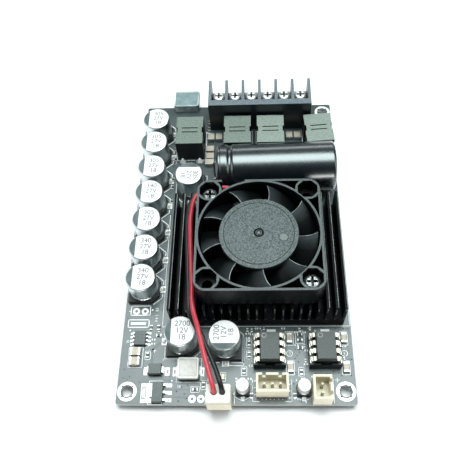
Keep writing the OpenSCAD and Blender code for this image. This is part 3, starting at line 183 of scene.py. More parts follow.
looks = {
    "board": dict(base=(0.036, 0.052, 0.054), vary=(0.041, 0.058, 0.060), scale=170, rough=0.33,
                  roughVary=0.08, bump=0.03, specular=0.72, mid=(0.30, 0.33, 0.31),
                  midVary=(0.38, 0.41, 0.38), midBand=(0.00004, 0.0001), top=(0.036, 0.052, 0.054),
                  topVary=(0.056, 0.076, 0.078), topBand=(0.00152, 0.00157)),
    "heatsink": dict(base=(0.0009, 0.0014, 0.0020), vary=(0.0022, 0.0028, 0.0036), scale=700, rough=0.4,
                     bump=0.04, specular=0.07),
    # painted shade: the fan screws are dark up to 21.4 mm and lighter from 22.1 mm, so the cross recess
    # reads dark against the head's top
    "steel_screw": dict(base=(0.006, 0.007, 0.007), vary=(0.016, 0.017, 0.017), rough=0.34, metal=0.8,
                        scale=1500, top=(0.06, 0.064, 0.064), topVary=(0.30, 0.31, 0.31),
                        topBand=(0.0214, 0.0221)),
    "chip": dict(base=(0.016, 0.026, 0.023), vary=(0.040, 0.056, 0.052), scale=2600, rough=0.42,
                 bump=0.15, specular=0.42),
    "powerChip": dict(base=(0.034, 0.048, 0.045), vary=(0.070, 0.090, 0.086), scale=2600, rough=0.42,
                      bump=0.15, specular=0.55),
    # painted light: the frame's top face, from 24.9 mm up, is a lighter grey than the same black plastic on
    # its sides
    "fan_plastic": dict(base=(0.0012, 0.0022, 0.0026), vary=(0.003, 0.004, 0.0044), scale=2200,
                        rough=0.36, bump=0.1, specular=0.15, top=(0.060, 0.072, 0.073),
                        topVary=(0.12, 0.135, 0.136), topBand=(0.02486, 0.02494)),
    # painted light: the blades, from 21.6 mm, and the hub's top face, from 24.1 mm, are lighter than the
    # same black plastic lower down
    "rotor_plastic": dict(base=(0.0008, 0.0014, 0.0017), vary=(0.002, 0.003, 0.0035), scale=3000,
                          rough=0.38, bump=0.1, specular=0.25, mid=(0.014, 0.019, 0.021),
                          midVary=(0.026, 0.033, 0.036), midBand=(0.0216, 0.0238),
                          top=(0.020, 0.029, 0.029), topVary=(0.120, 0.148, 0.147),
                          topBand=(0.02405, 0.02415)),
    "magnet": dict(base=(0.06, 0.06, 0.065), rough=0.6),
    "shaft": dict(base=(0.55, 0.55, 0.56), rough=0.25, metal=1.0),
    "bearing": dict(base=(0.5, 0.34, 0.16), rough=0.4, metal=1.0),
    "winding": dict(base=(0.42, 0.17, 0.07), rough=0.35, metal=1.0, scale=3000),
    # painted shade: the red lead turns darker above 13.8 mm, along its upper run beside the fan
    "lead_red": dict(base=(0.47, 0.036, 0.056), vary=(0.54, 0.05, 0.072), scale=500, rough=0.34,
                     specular=0.4, top=(0.37, 0.021, 0.036), topVary=(0.45, 0.034, 0.052),
                     topBand=(0.0138, 0.0168)),
    "lead_black": dict(base=(0.006, 0.006, 0.007), rough=0.38, specular=0.35),
    "plug": dict(base=(0.66, 0.655, 0.59), vary=(0.72, 0.71, 0.64), rough=0.42, bump=0.06),
    "header": dict(base=(0.68, 0.63, 0.48), vary=(0.74, 0.69, 0.54), rough=0.42, bump=0.06, soft=0.4),
    "pinTin": dict(base=(0.42, 0.38, 0.29), vary=(0.52, 0.48, 0.38), rough=0.5, metal=0.4, scale=1500),
    "can": dict(base=(0.58, 0.63, 0.64), vary=(0.66, 0.70, 0.71), scale=240, rough=0.3, roughVary=0.05,
                metal=1.0, bump=0.0),
    "smallCan": dict(base=(0.62, 0.64, 0.64), vary=(0.72, 0.73, 0.73), scale=240, rough=0.4, metal=0.35,
                     bump=0.0),
    "canFace": dict(base=(0.74, 0.75, 0.75), vary=(0.84, 0.84, 0.84), scale=200, rough=0.55, bump=0.02,
                    specular=0.2),
    "can_base": dict(base=(0.006, 0.008, 0.009), rough=0.45, specular=0.35),
    "tin": dict(base=(0.40, 0.40, 0.38), vary=(0.58, 0.58, 0.55), scale=1500, rough=0.36, metal=0.85),
    "pad": dict(base=(0.74, 0.76, 0.75), vary=(0.86, 0.88, 0.87), scale=1200, rough=0.45, metal=0.3,
                specular=0.3),
    "sleeve": dict(base=(0.0010, 0.0034, 0.0050), vary=(0.0024, 0.0050, 0.0068), scale=300, rough=0.28,
                   roughVary=0.06, bump=0.02, specular=1.0, specTint=(0.88, 1.0, 1.0), coat=1.0,
                   coatRough=0.24),
    "seal": dict(base=(0.02, 0.02, 0.02), rough=0.7),
    # painted light: the top face is a lighter grey-green than the same black ferrite on the sides
    "inductor": dict(base=(0.003, 0.005, 0.006), vary=(0.007, 0.010, 0.011), scale=1800, rough=0.5,
                     bump=0.25, specular=0.3, top=(0.115, 0.150, 0.130), topVary=(0.185, 0.225, 0.195),
                     topBand=(0.01145, 0.01155)),
    # painted light: a copy of the inductor finish with a lighter top, for the two right-hand inductors
    "inductorLitTop": dict(base=(0.003, 0.005, 0.006), vary=(0.007, 0.010, 0.011), scale=1800, rough=0.5,
                         bump=0.25, specular=0.3, top=(0.165, 0.205, 0.180), topVary=(0.25, 0.295, 0.26),
                         topBand=(0.01145, 0.01155)),
    # painted light: the top face is a lighter blue-grey than the same dark blue plastic below it
    "terminal": dict(base=(0.0030, 0.0068, 0.0115), vary=(0.007, 0.012, 0.018), scale=1200, rough=0.34,
                     bump=0.08, specular=0.6, top=(0.10, 0.13, 0.15), topVary=(0.15, 0.18, 0.20),
                     topBand=(0.01652, 0.01658)),
    "terminal_metal": dict(base=(0.55, 0.56, 0.55), vary=(0.72, 0.73, 0.72), rough=0.3, metal=1.0,
                           scale=1500),
    # painted shade: the terminal screws are dark up to 11.88 mm and bright metal from 12.15 mm, so the
    # cross recess reads dark
    "screwHeadRecessShade": dict(base=(0.03, 0.03, 0.03), vary=(0.07, 0.07, 0.07), rough=0.46, metal=0.75,
                      scale=1500, top=(0.62, 0.63, 0.62), topVary=(0.85, 0.86, 0.85),
                      topBand=(0.01188, 0.01215)),
    "legTin": dict(base=(0.30, 0.285, 0.235), vary=(0.46, 0.44, 0.37), rough=0.42, metal=0.7, scale=1500),
    "socket": dict(base=(0.0035, 0.0045, 0.005), rough=0.4, bump=0.1, specular=0.35),
    "socket_shell": dict(base=(0.17, 0.245, 0.25), vary=(0.25, 0.32, 0.33), rough=0.42, metal=0.3,
                         scale=420, specular=0.4),
    # painted shade: the sides are a dark green-grey under the cream top face
    "supply_inductor": dict(base=(0.065, 0.080, 0.074), vary=(0.09, 0.105, 0.10), rough=0.42, scale=1400,
                            bump=0.15, top=(0.62, 0.61, 0.57), topVary=(0.72, 0.71, 0.67),
                            topBand=(0.0030, 0.0036)),
    "ceramic": dict(base=(0.40, 0.35, 0.275), vary=(0.50, 0.45, 0.36), rough=0.42, scale=1600),
    "resistor": dict(base=(0.010, 0.011, 0.012), rough=0.35),
    "silk": dict(base=(0.80, 0.83, 0.82), vary=(0.92, 0.94, 0.93), rough=0.5, scale=3000),
    "print": dict(base=(0.075, 0.08, 0.085), vary=(0.16, 0.165, 0.17), rough=0.6, scale=2500, specular=0.1),
    "printBand": dict(base=(0.075, 0.100, 0.105), vary=(0.13, 0.16, 0.165), rough=0.5, scale=300,
                      specular=0.2),
    "lampLens": dict(base=(0.75, 0.55, 0.12), vary=(0.85, 0.66, 0.2), rough=0.3, scale=2500, coat=0.4),
    "maskTrace": dict(base=(0.060, 0.080, 0.082), vary=(0.085, 0.108, 0.108), rough=0.34, scale=500),
    # painted highlight on the fin edges and the low glints on the fin fronts
    "edgeHighlight": dict(base=(0.10, 0.12, 0.125), vary=(0.30, 0.33, 0.33), rough=0.4, scale=260),
    # painted glints on the fin fronts
    "dimGlint": dict(base=(0.012, 0.016, 0.018), vary=(0.16, 0.17, 0.175), rough=0.4, scale=420),
    # painted highlight on the rear socket's rim and front
    "socketRimHighlight": dict(base=(0.30, 0.36, 0.36), vary=(0.62, 0.67, 0.66), rough=0.4, scale=300),
    "supplyLine": dict(base=(0.24, 0.235, 0.22), vary=(0.34, 0.33, 0.31), rough=0.5, scale=900),
    "supplyPanel": dict(base=(0.50, 0.48, 0.45), vary=(0.60, 0.58, 0.545), rough=0.5, scale=900),
    # painted shade inside holes and round the fan's shaft
    "hole": dict(base=(0.006, 0.008, 0.008), vary=(0.012, 0.014, 0.014), rough=0.8, specular=0.1),
    "shaftEnd": dict(base=(0.06, 0.07, 0.07), vary=(0.14, 0.155, 0.155), rough=0.4, scale=2500),
    "mouldSpot": dict(base=(0.072, 0.090, 0.089), vary=(0.115, 0.140, 0.139), rough=0.36, scale=3000),
    "bladeEdge": dict(base=(0.10, 0.12, 0.125), vary=(0.34, 0.37, 0.375), rough=0.4, scale=350),
    # painted shade in the hub's grooves, and dark lines on the board
    "darkLineAndShade": dict(base=(0.004, 0.005, 0.005), vary=(0.010, 0.012, 0.012), rough=0.6, scale=2500,
                     specular=0.2),
}
finishes = {name: makeFinish(name, look) for name, look in looks.items()}

ownFinish = {
    "small_cans": "smallCan", "opamp_legs": "legTin", "header_pins": "pinTin", "power_chips": "powerChip",
    "inductor_3": "inductorLitTop", "inductor_4": "inductorLitTop",
}
ownFinish.update({"terminal_screw_%d" % k: "screwHeadRecessShade" for k in range(1, 7)})
for entry in frame["record"]["subparts"]:
    nodeMesh = nodes[entry["node"]].data
    nodeMesh.materials.clear()
    nodeMesh.materials.append(finishes[ownFinish.get(entry["node"], entry["material_slot"])])
print("finishes assigned:", len(finishes))

edgeRounds = {  # width in millimetres of the small round on each edge
    "fan_frame": 0.14, "heatsink": 0.1, "terminal_block": 0.14, "inductor_1": 0.2, "inductor_2": 0.2,
    "inductor_3": 0.2, "inductor_4": 0.2, "signal_header": 0.1, "side_header": 0.1, "fan_header": 0.1,
    "fan_plug": 0.12, "opamp_1": 0.1, "opamp_2": 0.1, "power_chips": 0.1, "supply_inductor": 0.3,
    "edge_socket": 0.18, "chip_sockets": 0.08, "circuit_board": 0.06, "fan_rotor": 0.09,
}
for name, width in edgeRounds.items():
    weld = nodes[name].modifiers.new("joinCorners", "WELD")
    weld.merge_threshold = 0.000004
    roundEdge = nodes[name].modifiers.new("roundEdge", "BEVEL")
    roundEdge.width = width * mm
    roundEdge.segments = 2
    roundEdge.profile = 0.5
    roundEdge.limit_method = "ANGLE"
    roundEdge.angle_limit = math.radians(40)
    roundEdge.use_clamp_overlap = True
    roundEdge.harden_normals = False
print("edges rounded:", len(edgeRounds))


# mesh helpers

def addPiece(name, mesh, finish, body="board"):
    piece = bpy.data.objects.new(name, mesh)
    bpy.context.scene.collection.objects.link(piece)
    mesh.materials.clear()
    mesh.materials.append(finishes[finish])
    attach(piece, body)
    return piece


def closeMesh(name, bm):
    bmesh.ops.recalc_face_normals(bm, faces=bm.faces)
    mesh = bpy.data.meshes.new(name)
    bm.to_mesh(mesh)
    bm.free()
    return mesh


def raiseFaces(bm, faces, height):
    grown = bmesh.ops.extrude_face_region(bm, geom=faces)
    raised = [item for item in grown["geom"] if isinstance(item, bmesh.types.BMVert)]
    bmesh.ops.translate(bm, vec=(0, 0, height), verts=raised)


def prismMesh(name, outlines, low, high):
    # closed flat shapes, given in millimetres, raised from low to high
    bm = bmesh.new()
    for outline in outlines:
        face = bm.faces.new([bm.verts.new((x * mm, y * mm, low)) for x, y in outline])
        raiseFaces(bm, [face], high - low)
    return closeMesh(name, bm)


def skinRings(bm, rings):
    # walls between rings of the same count, and a cap at each end
    sides = len(rings[0])
    for before, after in zip(rings, rings[1:]):
        for s in range(sides):
            wall = bm.faces.new((before[s], before[(s + 1) % sides], after[(s + 1) % sides], after[s]))
            wall.smooth = True
    bm.faces.new(list(reversed(rings[0])))
    bm.faces.new(rings[-1])


def tubeMesh(name, path, diameter, sides=16):
    bm = bmesh.new()
    rings = []
    side = Vector((1, 0.2, 1))
    for k, spot in enumerate(path):
        ahead = (path[min(k + 1, len(path) - 1)] - path[max(k - 1, 0)]).normalized()
        side = (side - ahead * side.dot(ahead)).normalized()
        other = ahead.cross(side)
        rings.append([bm.verts.new(spot + diameter / 2 * (side * math.cos(2 * math.pi * s / sides)
                                                          + other * math.sin(2 * math.pi * s / sides)))
                      for s in range(sides)])
    skinRings(bm, rings)
    return closeMesh(name, bm)


def coneMesh(name, spots, sides=16):
    # solder: low cones with a hollow flank
    bm = bmesh.new()
    for x, y, r, h in spots:
        rings = []
        for share, rise in ((1, 0), (0.62, 0.28), (0.38, 0.7), (0.22, 1)):
            rings.append([bm.verts.new((px * mm, py * mm, boardTop + h * rise * mm))
                          for px, py in disc(x, y, r * share, sides)])
        skinRings(bm, rings)
    return closeMesh(name, bm)


def turned(points, cx, cy, turn):
    c, s = math.cos(math.radians(turn)), math.sin(math.radians(turn))
    return [(cx + x * c - y * s, cy + x * s + y * c) for x, y in points]


def stroke(points, width, closed=False):
    # a line of rectangles
    boxes = []
    ends = points[1:] + points[:1] if closed else points[1:]
    for (ax, ay), (bx, by) in zip(points, ends):
        length = math.hypot(bx - ax, by - ay)
        ux, uy = (bx - ax) / length * width / 2, (by - ay) / length * width / 2
        boxes.append([(ax - ux + uy, ay - uy - ux), (bx + ux + uy, by + uy - ux),
                      (bx + ux - uy, by + uy + ux), (ax - ux - uy, ay - uy + ux)])
    return boxes


def rectangle(cx, cy, w, h):
    return [(cx - w / 2, cy - h / 2), (cx + w / 2, cy - h / 2),
            (cx + w / 2, cy + h / 2), (cx - w / 2, cy + h / 2)]


def frameLine(cx, cy, w, h, width):
    return stroke(rectangle(cx, cy, w, h), width, True)


def disc(cx, cy, r, sides=24):
    return [(cx + r * math.cos(2 * math.pi * k / sides), cy + r * math.sin(2 * math.pi * k / sides))
            for k in range(sides)]


def ringPart(cx, cy, inner, outer, start=0, stop=359.9, steps=10):
    # part of a flat ring, or nearly all of it
    turns = [math.radians(start + (stop - start) * k / steps) for k in range(steps + 1)]
    return ([(cx + outer * math.cos(t), cy + outer * math.sin(t)) for t in turns]
            + [(cx + inner * math.cos(t), cy + inner * math.sin(t)) for t in reversed(turns)])


def wordMesh(name, words, low, height):
    # plain numbers as one mesh: text, x, y, size, turn
    bm = bmesh.new()
    for text, x, y, size, turn in words:
        curve = bpy.data.curves.new(name + "Line", "FONT")
        curve.body = text
        curve.size = size * mm
        curve.align_x = "CENTER"
        curve.align_y = "CENTER"
        holder = bpy.data.objects.new(name + "Line", curve)
        flat = holder.to_mesh()
        places = turned([vert.co.xy for vert in flat.vertices], x * mm, y * mm, turn)
        corners = [bm.verts.new((px, py, low)) for px, py in places]
        for polygon in flat.polygons:
            bm.faces.new([corners[k] for k in polygon.vertices])
        holder.to_mesh_clear()
        bpy.data.objects.remove(holder)
        bpy.data.curves.remove(curve)
    raiseFaces(bm, list(bm.faces), height)
    return closeMesh(name, bm)


layers = {  # bottom and top of each thin layer above the face that it lies on
    "trace": (0.000003, 0.00001), "viaRim": (0.000004, 0.000012), "via": (0.000006, 0.000016),
    "pad": (0.00001, 0.00004), "silk": (0.00002, 0.00005), "padMark": (0.000042, 0.00006),
    "canFace": (0.000002, 0.000012), "canBand": (0.000008, 0.000026), "canPrint": (0.000008, 0.000028),
    "film": (0.000004, 0.00002), "filmLine": (0.000006, 0.000024), "contact": (0.000004, 0.00004),
}


def addLayer(name, outlines, ground, layer, finish, body="board"):
    low, high = layers[layer]
    addPiece(name, prismMesh(name, outlines, ground + low, ground + high), finish, body)


def addWords(name, words, ground, layer, finish):
    low, high = layers[layer]
    addPiece(name, wordMesh(name, words, ground + low, high - low), finish)


# fan leads, smooth tubes along the same routes as the solids
leads = {
    "redLead": dict(node="fan_lead_red", finish="lead_red", diameter=0.0015, points=[
        (-0.35, 5.3, 18.8), (-0.95, 6.65, 18.8), (-2.3, 8, 18.8), (-4.8, 8.5, 18.5), (-8, 8.4, 18.2),
        (-11, 7.8, 17.9), (-13.2, 6, 17.7), (-14.3, 3.4, 17.5), (-14.8, 0, 17.3), (-15, -4, 17.1),
        (-14.8, -8, 17), (-14.6, -12, 17), (-14.3, -16, 17), (-14, -20, 17), (-13.7, -24, 17),
        (-13.4, -28, 17), (-13.2, -32, 16.9), (-12.6, -35.8, 16.6), (-11.4, -39.8, 15.4),
        (-10.4, -43.6, 14.6), (-9.3, -47.8, 13.9), (-8.1, -51.8, 13.6), (-7.1, -55.2, 13.4),
        (-6.4, -57.4, 13), (-6.1, -58.7, 11.8), (-6.1, -59, 10.5), (-6.1, -59, 9.2)]),
    "blackLead": dict(node="fan_lead_black", finish="lead_black", diameter=0.0015, points=[
        (-1.55, 4.7, 17.15), (-2.2, 6, 17.15), (-3, 7.7, 17.15), (-5.6, 8.4, 16.9), (-8.8, 8.4, 16.6),
        (-12, 7.8, 16.3), (-14.4, 6, 16), (-15.7, 3.2, 15.95), (-16.1, 0, 15.95), (-16.2, -4, 15.95),
        (-16, -8, 15.95), (-15.8, -12, 15.95), (-15.5, -16, 15.95), (-15.2, -20, 15.95),
        (-14.9, -24, 15.95), (-14.6, -28, 15.95), (-14.4, -32, 15.95), (-13.9, -35.8, 15.2),
        (-12.3, -39.2, 13.5), (-10.2, -42.2, 12.7), (-9, -44.8, 12.5), (-7.7, -47.8, 12.5),
        (-6.3, -51, 12.6), (-5.1, -54, 12.8), (-4.2, -56.6, 12.9), (-3.7, -58.3, 12),
        (-3.6, -59, 10.6), (-3.6, -59, 9.2)]),
}


def smoothRoute(points, steps):
    # points in millimetres, passed through by a smooth curve, in metres
    path = []
    for k in range(len(points) - 1):
        a, b = Vector(points[max(k - 1, 0)]), Vector(points[k])
        c, d = Vector(points[k + 1]), Vector(points[min(k + 2, len(points) - 1)])
        for step in range(steps):
            t = step / steps
            path.append(0.5 * mm * (2 * b + (c - a) * t + (2 * a - 5 * b + 4 * c - d) * t * t
                                    + (3 * b - a - 3 * c + d) * t ** 3))
    path.append(Vector(points[-1]) * mm)
    return path


for name, lead in leads.items():
    path = smoothRoute(lead["points"], 4)
    piece = addPiece(name, tubeMesh(name, path, lead["diameter"]), lead["finish"])
    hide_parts(lead["node"])

# board print: lines, pads, holes and numbers, all just above the solder mask
railX, railPitch, railRear = -31.25, 11.3, 46.1
railY = [railRear - railPitch * k for k in range(7)]
bigCans = [(-17.4, 19.85, -90), (-17.2, -40.3, 0), (-3.3, -41.6, 90)]  # x, y, turn
smallCans = [(2.2, -55.8), (21.0, -55.9)]
sockets = [(10.7, -44.2), (28.1, -44.2)]
soicX, soicY, soicPitch = -31.25, -39.4, 1.27
holeX, holeY = 34.0, 56.5

lines = []
lines += stroke([(-24.6, 8.0), (-24.4, -35.2)], 0.2)  # heatsink outline
lines += stroke([(-24.4, -35.2), (37.0, -35.2), (37.0, 8.4)], 0.24)
for y in railY:  # base outlines right of the rail row
    for side in (1, -1):
        corner = [(6.1, side * 1.9), (6.1, side * 3.1), (3.3, side * 5.45)]
        lines += stroke(turned(corner, railX, y, 0), 0.3)
for x, y, turn in bigCans:
    for side in (1, -1):
        corner = [(6.1, side * 1.9), (6.1, side * 3.1), (3.4, side * 5.75), (-5.75, side * 5.75),
                  (-5.75, side * 1.9)]
        lines += stroke(turned(corner, x, y, turn), 0.2)
lines += frameLine(-32.1, -29.4, 6.5, 3.3, 0.3)
lines += frameLine(-32.4, -34.0, 6.9, 2.6, 0.3)
lines += stroke([(-34.6, -34.0), (-30.4, -34.0)], 0.9)
for x, y in sockets:
    lines += stroke([(x - 4.6, y + 6.3), (x - 1.5, y + 6.3)], 0.22)
    lines += stroke([(x + 1.5, y + 6.3), (x + 4.6, y + 6.3)], 0.22)
    lines += [rectangle(x + 0.7, y + 7.5, 2.9, 0.9)]
    lines += [ringPart(x + 6.4, y - 0.2, 0.85, 1.05, 0, 360, 20)]
for side in (-1, 1):  # header brackets
    x, y = 11.3 + side * 6.05, -55.4
    lines += stroke([(x, y + 2.6), (x, y - 4.2), (x - side * 2.0, y - 4.2)], 0.2)
    x, y = -4.85 + side * 4.5, -59.3
    lines += stroke([(x, y + 2.6), (x, y - 1.0)], 0.2)
lines += stroke([(21.6, -52.2), (21.6, -60.0)], 0.18)
lines += stroke([(30.2, -52.4), (30.2, -60.0)], 0.18)
for x, y in smallCans:
    lines += [ringPart(x, y, 3.15, 3.35, 200, 255), ringPart(x, y, 3.15, 3.35, 285, 340)]
lines += stroke([(2.4, -38.5), (2.4, -48.4)], 0.22)
lines += stroke([(2.4, -48.4), (-1.9, -48.3)], 0.22)
partFrames = [  # x, y, width, length of outlines round small parts
    (-28.45, -44.9, 1.7, 2.8), (-32.35, -45.5, 4.6, 6.6), (-25.0, -56.9, 4.4, 7.4),
    (-14.85, -49.8, 7.8, 7.6), (20.6, -50.3, 1.7, 2.8), (34.6, -39.4, 2.5, 4.6), (34.6, -49.0, 2.5, 4.6),
    (17.2, -39.4, 2.5, 4.6), (17.2, -49.0, 2.5, 4.6), (-10.1, -54.5, 1.7, 2.8), (-12.6, -55.9, 2.8, 1.7),
    (-4.0, -51.9, 1.7, 2.8), (2.6, -50.1, 1.7, 2.8), (4.2, -41.0, 1.7, 2.8), (4.2, -44.8, 1.7, 2.8),
    (20.6, -39.1, 2.8, 4.0),
]
for x, y, w, h in partFrames:
    lines += frameLine(x, y, w, h, 0.16)
lines += stroke([(-12.45, 31.2), (-12.45, 44.6)], 0.26)
lines += stroke([(-24.0, 47.6), (-24.0, 31.5)], 0.18)
for x in (0.1, 12.6, 30.8, -18.1):  # inductors
    lines += frameLine(x, 40.2, 11.0, 13.9, 0.2)
dots = [(-28.14, -29.2, 0.3), (-35.84, -29.66, 0.2), (-35.0, -36.4, 0.3), (-20.1, -53.1, 0.25)]
lines += [disc(x, y, r, 12) for x, y, r in dots]
for x, y in ((-26.3, -43.4), (6.4, -35.9), (23.8, -35.9), (-6.6, -35.95), (31.6, -52.9)):  # plus marks
    lines += stroke([(x - 0.55, y), (x + 0.55, y)], 0.18) + stroke([(x, y - 0.55), (x, y + 0.55)], 0.18)
for x in (5.55, 17.0):  # dashes beside the signal header
    for k in range(6):
        lines += [rectangle(x + (-0.4 if k % 2 else 0.4), -53.2 - 1.05 * k, 0.5, 0.4)]
for k in range(6):  # dots in front of the signal header
    lines += [rectangle(8.2 + 1.25 * k, -58.9, 0.35, 0.2)]
smallMarks = [  # small bare footprints
    (3.65, -36.4), (3.65, -37.73), (3.76, -39.27), (5.08, -36.52), (5.07, -37.9), (7.45, -35.9),
    (9.04, -35.8), (15.3, -35.95), (19.4, -37.3), (20.6, -36.4), (22.0, -37.3), (19.4, -41.6),
    (22.0, -41.8), (22.5, -43.4), (4.7, -48.4), (22.1, -46.7), (22.1, -47.9), (34.5, -42.0),
    (34.3, -46.2), (24.3, -51.9), (18.6, -58.7), (0.2, -52.9), (4.3, -52.5), (-7.6, -57.2), (24.0, -36.0),
    (-27.0, -39.6), (-27.0, -41.0), (-25.5, -36.3),
]
for k, (x, y) in enumerate(smallMarks):
    long, wide = (0.42, 0.62) if k % 3 else (0.62, 0.42)
    gap = (0.42, 0) if k % 3 else (0, 0.42)
    lines += [rectangle(x - gap[0], y - gap[1], long, wide), rectangle(x + gap[0], y + gap[1], long, wide)]
addLayer("silkLines", lines, boardTop, "silk", "silk")

numbers = [  # text, x, y, size, turn
    ("18", -26.7, -29.0, 1.5, -90), ("2 4 6", -26.6, -32.2, 1.3, -90), ("31", 4.4, -37.6, 1.3, 0),
    ("32", 21.2, -37.0, 1.2, 0), ("7", 8.2, -36.9, 1.2, 0), ("8", 25.6, -36.9, 1.2, 0),
    ("41", 20.9, -52.6, 1.1, 0), ("12", 5.2, -46.9, 1.1, 0), ("5", 17.2, -44.3, 1.2, 0),
    ("6", 34.5, -44.4, 1.2, 0), ("23", -29.0, -41.9, 1.1, 0), ("9", -23.3, -46.4, 1.1, 0),
    ("14", -17.8, -55.0, 1.1, 0), ("3", -8.8, -52.9, 1.1, 0), ("26", -35.4, -40.2, 1.1, 90),
    ("52", 30.6, -37.2, 1.1, 0), ("11", -24.9, -37.9, 1.0, 0), ("61", -12.0, 46.8, 1.2, 0),
    ("62", 33.0, 49.6, 1.2, 0), ("4", 18.9, -53.0, 1.0, 0),
]
addWords("silkNumbers", numbers, boardTop, "silk", "silk")

pads, ringMarks = [], []
for x in (-holeX, holeX):  # plated rings, with a thin dark line and four ticks
    for y in (-holeY, holeY):
        pads.append(ringPart(x, y, 1.73, 3.05, steps=48))
        ringMarks.append(ringPart(x, y, 1.75, 2.02, steps=48))
        for k in range(4):
            ringMarks.append(ringPart(x, y, 2.03, 2.4, 40 + 90 * k, 50 + 90 * k, 2))
for x, y in ((-33.56, -29.67), (-30.61, -29.69), (-13.47, -58.8), (-10.72, -58.8)):
    pads.append(ringPart(x, y, 0.5, 1.2, steps=24))
for x, y, w, h in ((-27.8, -57.0, 3.6, 6.0), (-28.7, -50.1, 1.2, 2.5), (-21.75, -50.2, 1.5, 2.6),
                   (-19.2, -50.3, 1.5, 2.8), (-10.6, -50.3, 1.2, 2.8)):
    pads.append(rectangle(x, y, w, h))
regulatorX, regulatorY = -20.9, (-54.6, -56.9, -59.2)
pads += [rectangle(regulatorX, y, 1.9, 1.1) for y in regulatorY]
for y in railY:
    pads.append(rectangle(railX + 6.15, y, 1.7, 2.3))
    pads.append(rectangle(railX - 5.4, y, 0.7, 2.0))
for x, y, turn in bigCans:
    for side in (-1, 1):
        pads.append(turned(rectangle(side * 6.1, 0, 1.8, 2.3), x, y, turn))
for x, y in smallCans:
    for side in (-1, 1):
        pads.append(rectangle(x, y + side * 2.95, 1.2, 1.3))
for side in (-1, 1):  # legs of the eight-leg chip
    for k in range(4):
        pads.append(rectangle(soicX + side * 2.6, soicY + (k - 1.5) * soicPitch, 1.5, 0.62))
# painted shade: darker centres on the pads beside the front left parts and on the regulator's pads
padShades = [rectangle(-21.6, -50.2, 0.6, 1.3), rectangle(-19.35, -50.3, 0.6, 1.4),
             rectangle(-10.5, -50.3, 0.4, 1.4)]
padShades += [rectangle(regulatorX, y, 0.9, 0.35) for y in regulatorY]
tabSlot = frameLine(-28.65, -57.0, 1.1, 3.4, 0.2) + stroke([(-28.65, -58.5), (-28.65, -55.5)], 0.16)
addLayer("ringMarks", ringMarks, boardTop, "padMark", "darkLineAndShade")
addLayer("padShades", padShades, boardTop, "padMark", "supplyLine")
addLayer("tabSlot", tabSlot, boardTop, "padMark", "darkLineAndShade")
addLayer("boardPads", pads, boardTop, "pad", "pad")

# seeded small plated holes, kept off the larger parts
viaGroups = [  # lower corner, upper corner, tries
    ((-36.3, -52.8), (-28.0, -46.5), 7), ((-36.0, -60.0), (-8.5, -50.5), 46),
    ((18.6, -47.5), (22.2, -40.4), 20), ((2.5, -59.8), (36.5, -50.0), 60),
    ((-36.5, -37.5), (-24.8, -27.5), 12), ((-25.6, 8.0), (-24.9, 47.0), 26),
    ((-24.5, 9.2), (-11.0, 31.0), 24), ((-3.0, -36.9), (36.6, -35.8), 18),
    ((34.2, -48.0), (36.7, -35.8), 14), ((28.8, 47.2), (36.6, 60.0), 22),
    ((-11.5, 31.5), (36.5, 47.2), 40),
]
blocked = [  # x, y, half width, half length
    (-34, -56.5, 3.4, 3.4), (34, -56.5, 3.4, 3.4), (34, 56.5, 3.4, 3.4), (-32, -31.6, 3.9, 4.4),
    (-31.25, -39.4, 3.6, 3.2), (-32.35, -45.5, 2.4, 3.4), (-14.85, -49.8, 4.6, 4.0),
    (-25.5, -49.8, 4.2, 2.6), (-24.5, -56.9, 5.6, 4.0), (11.3, -55.4, 6.3, 4.5), (26.4, -56.8, 4.0, 4.4),
    (2.2, -55.8, 2.9, 3.6), (21, -55.9, 2.9, 3.6), (-4.85, -59.3, 4.6, 3.2), (-17.2, -40.3, 6.2, 6.2),
    (-3.3, -41.6, 6.2, 6.2), (10.7, -44.2, 5.4, 5.4), (28.1, -44.2, 5.4, 5.4), (-17.4, 19.85, 6.2, 7.2),
    (8.65, 54, 20, 7),
]
chance = random.Random(7)
rims, darks, taken = [], [], []
for low, high, count in viaGroups:
    for k in range(count):
        x, y = chance.uniform(low[0], high[0]), chance.uniform(low[1], high[1])
        if any(abs(x - cx) < w and abs(y - cy) < h for cx, cy, w, h in blocked):
            continue
        if any(math.hypot(x - ox, y - oy) < 1.0 for ox, oy in taken):
            continue
        taken.append((x, y))
        size = chance.uniform(0.15, 0.2)
        rims.append(disc(x, y, size * 1.7, 14))
        darks.append(disc(x, y, size, 12))
# painted shade: the dark discs stand for the shade inside the holes, on lighter rims
addLayer("viaRims", rims, boardTop, "viaRim", "maskTrace")
addLayer("viaHoleShades", darks, boardTop, "via", "hole")

traces = []
traces += stroke([(-29.5, -53.0), (-9.5, -53.2), (-8.2, -51.6)], 0.5)
traces += stroke([(-22.5, -55.8), (-14.0, -55.9)], 0.4)
traces += stroke([(-19.5, -58.3), (-15.4, -58.3)], 0.5)
traces += stroke([(-26.9, -47.2), (-26.9, -43.0), (-25.0, -41.0)], 0.7)
traces += stroke([(-29.6, -47.6), (-29.6, -43.2)], 0.4)
traces += stroke([(18.9, -36.6), (19.6, -38.0), (22.6, -39.6)], 0.35)
traces += stroke([(18.6, -51.4), (22.4, -48.6), (22.4, -40.0)], 0.35)
traces += stroke([(5.2, -50.6), (16.0, -50.6)], 0.4)
traces += stroke([(23.5, -50.8), (36.0, -50.8)], 0.4)
traces += stroke([(35.9, -51.5), (35.9, -36.0)], 0.5)
traces += stroke([(-25.4, 47.0), (-25.4, -26.0)], 0.5)
addLayer("boardTraces", traces, boardTop, "trace", "maskTrace")
print("board print added")

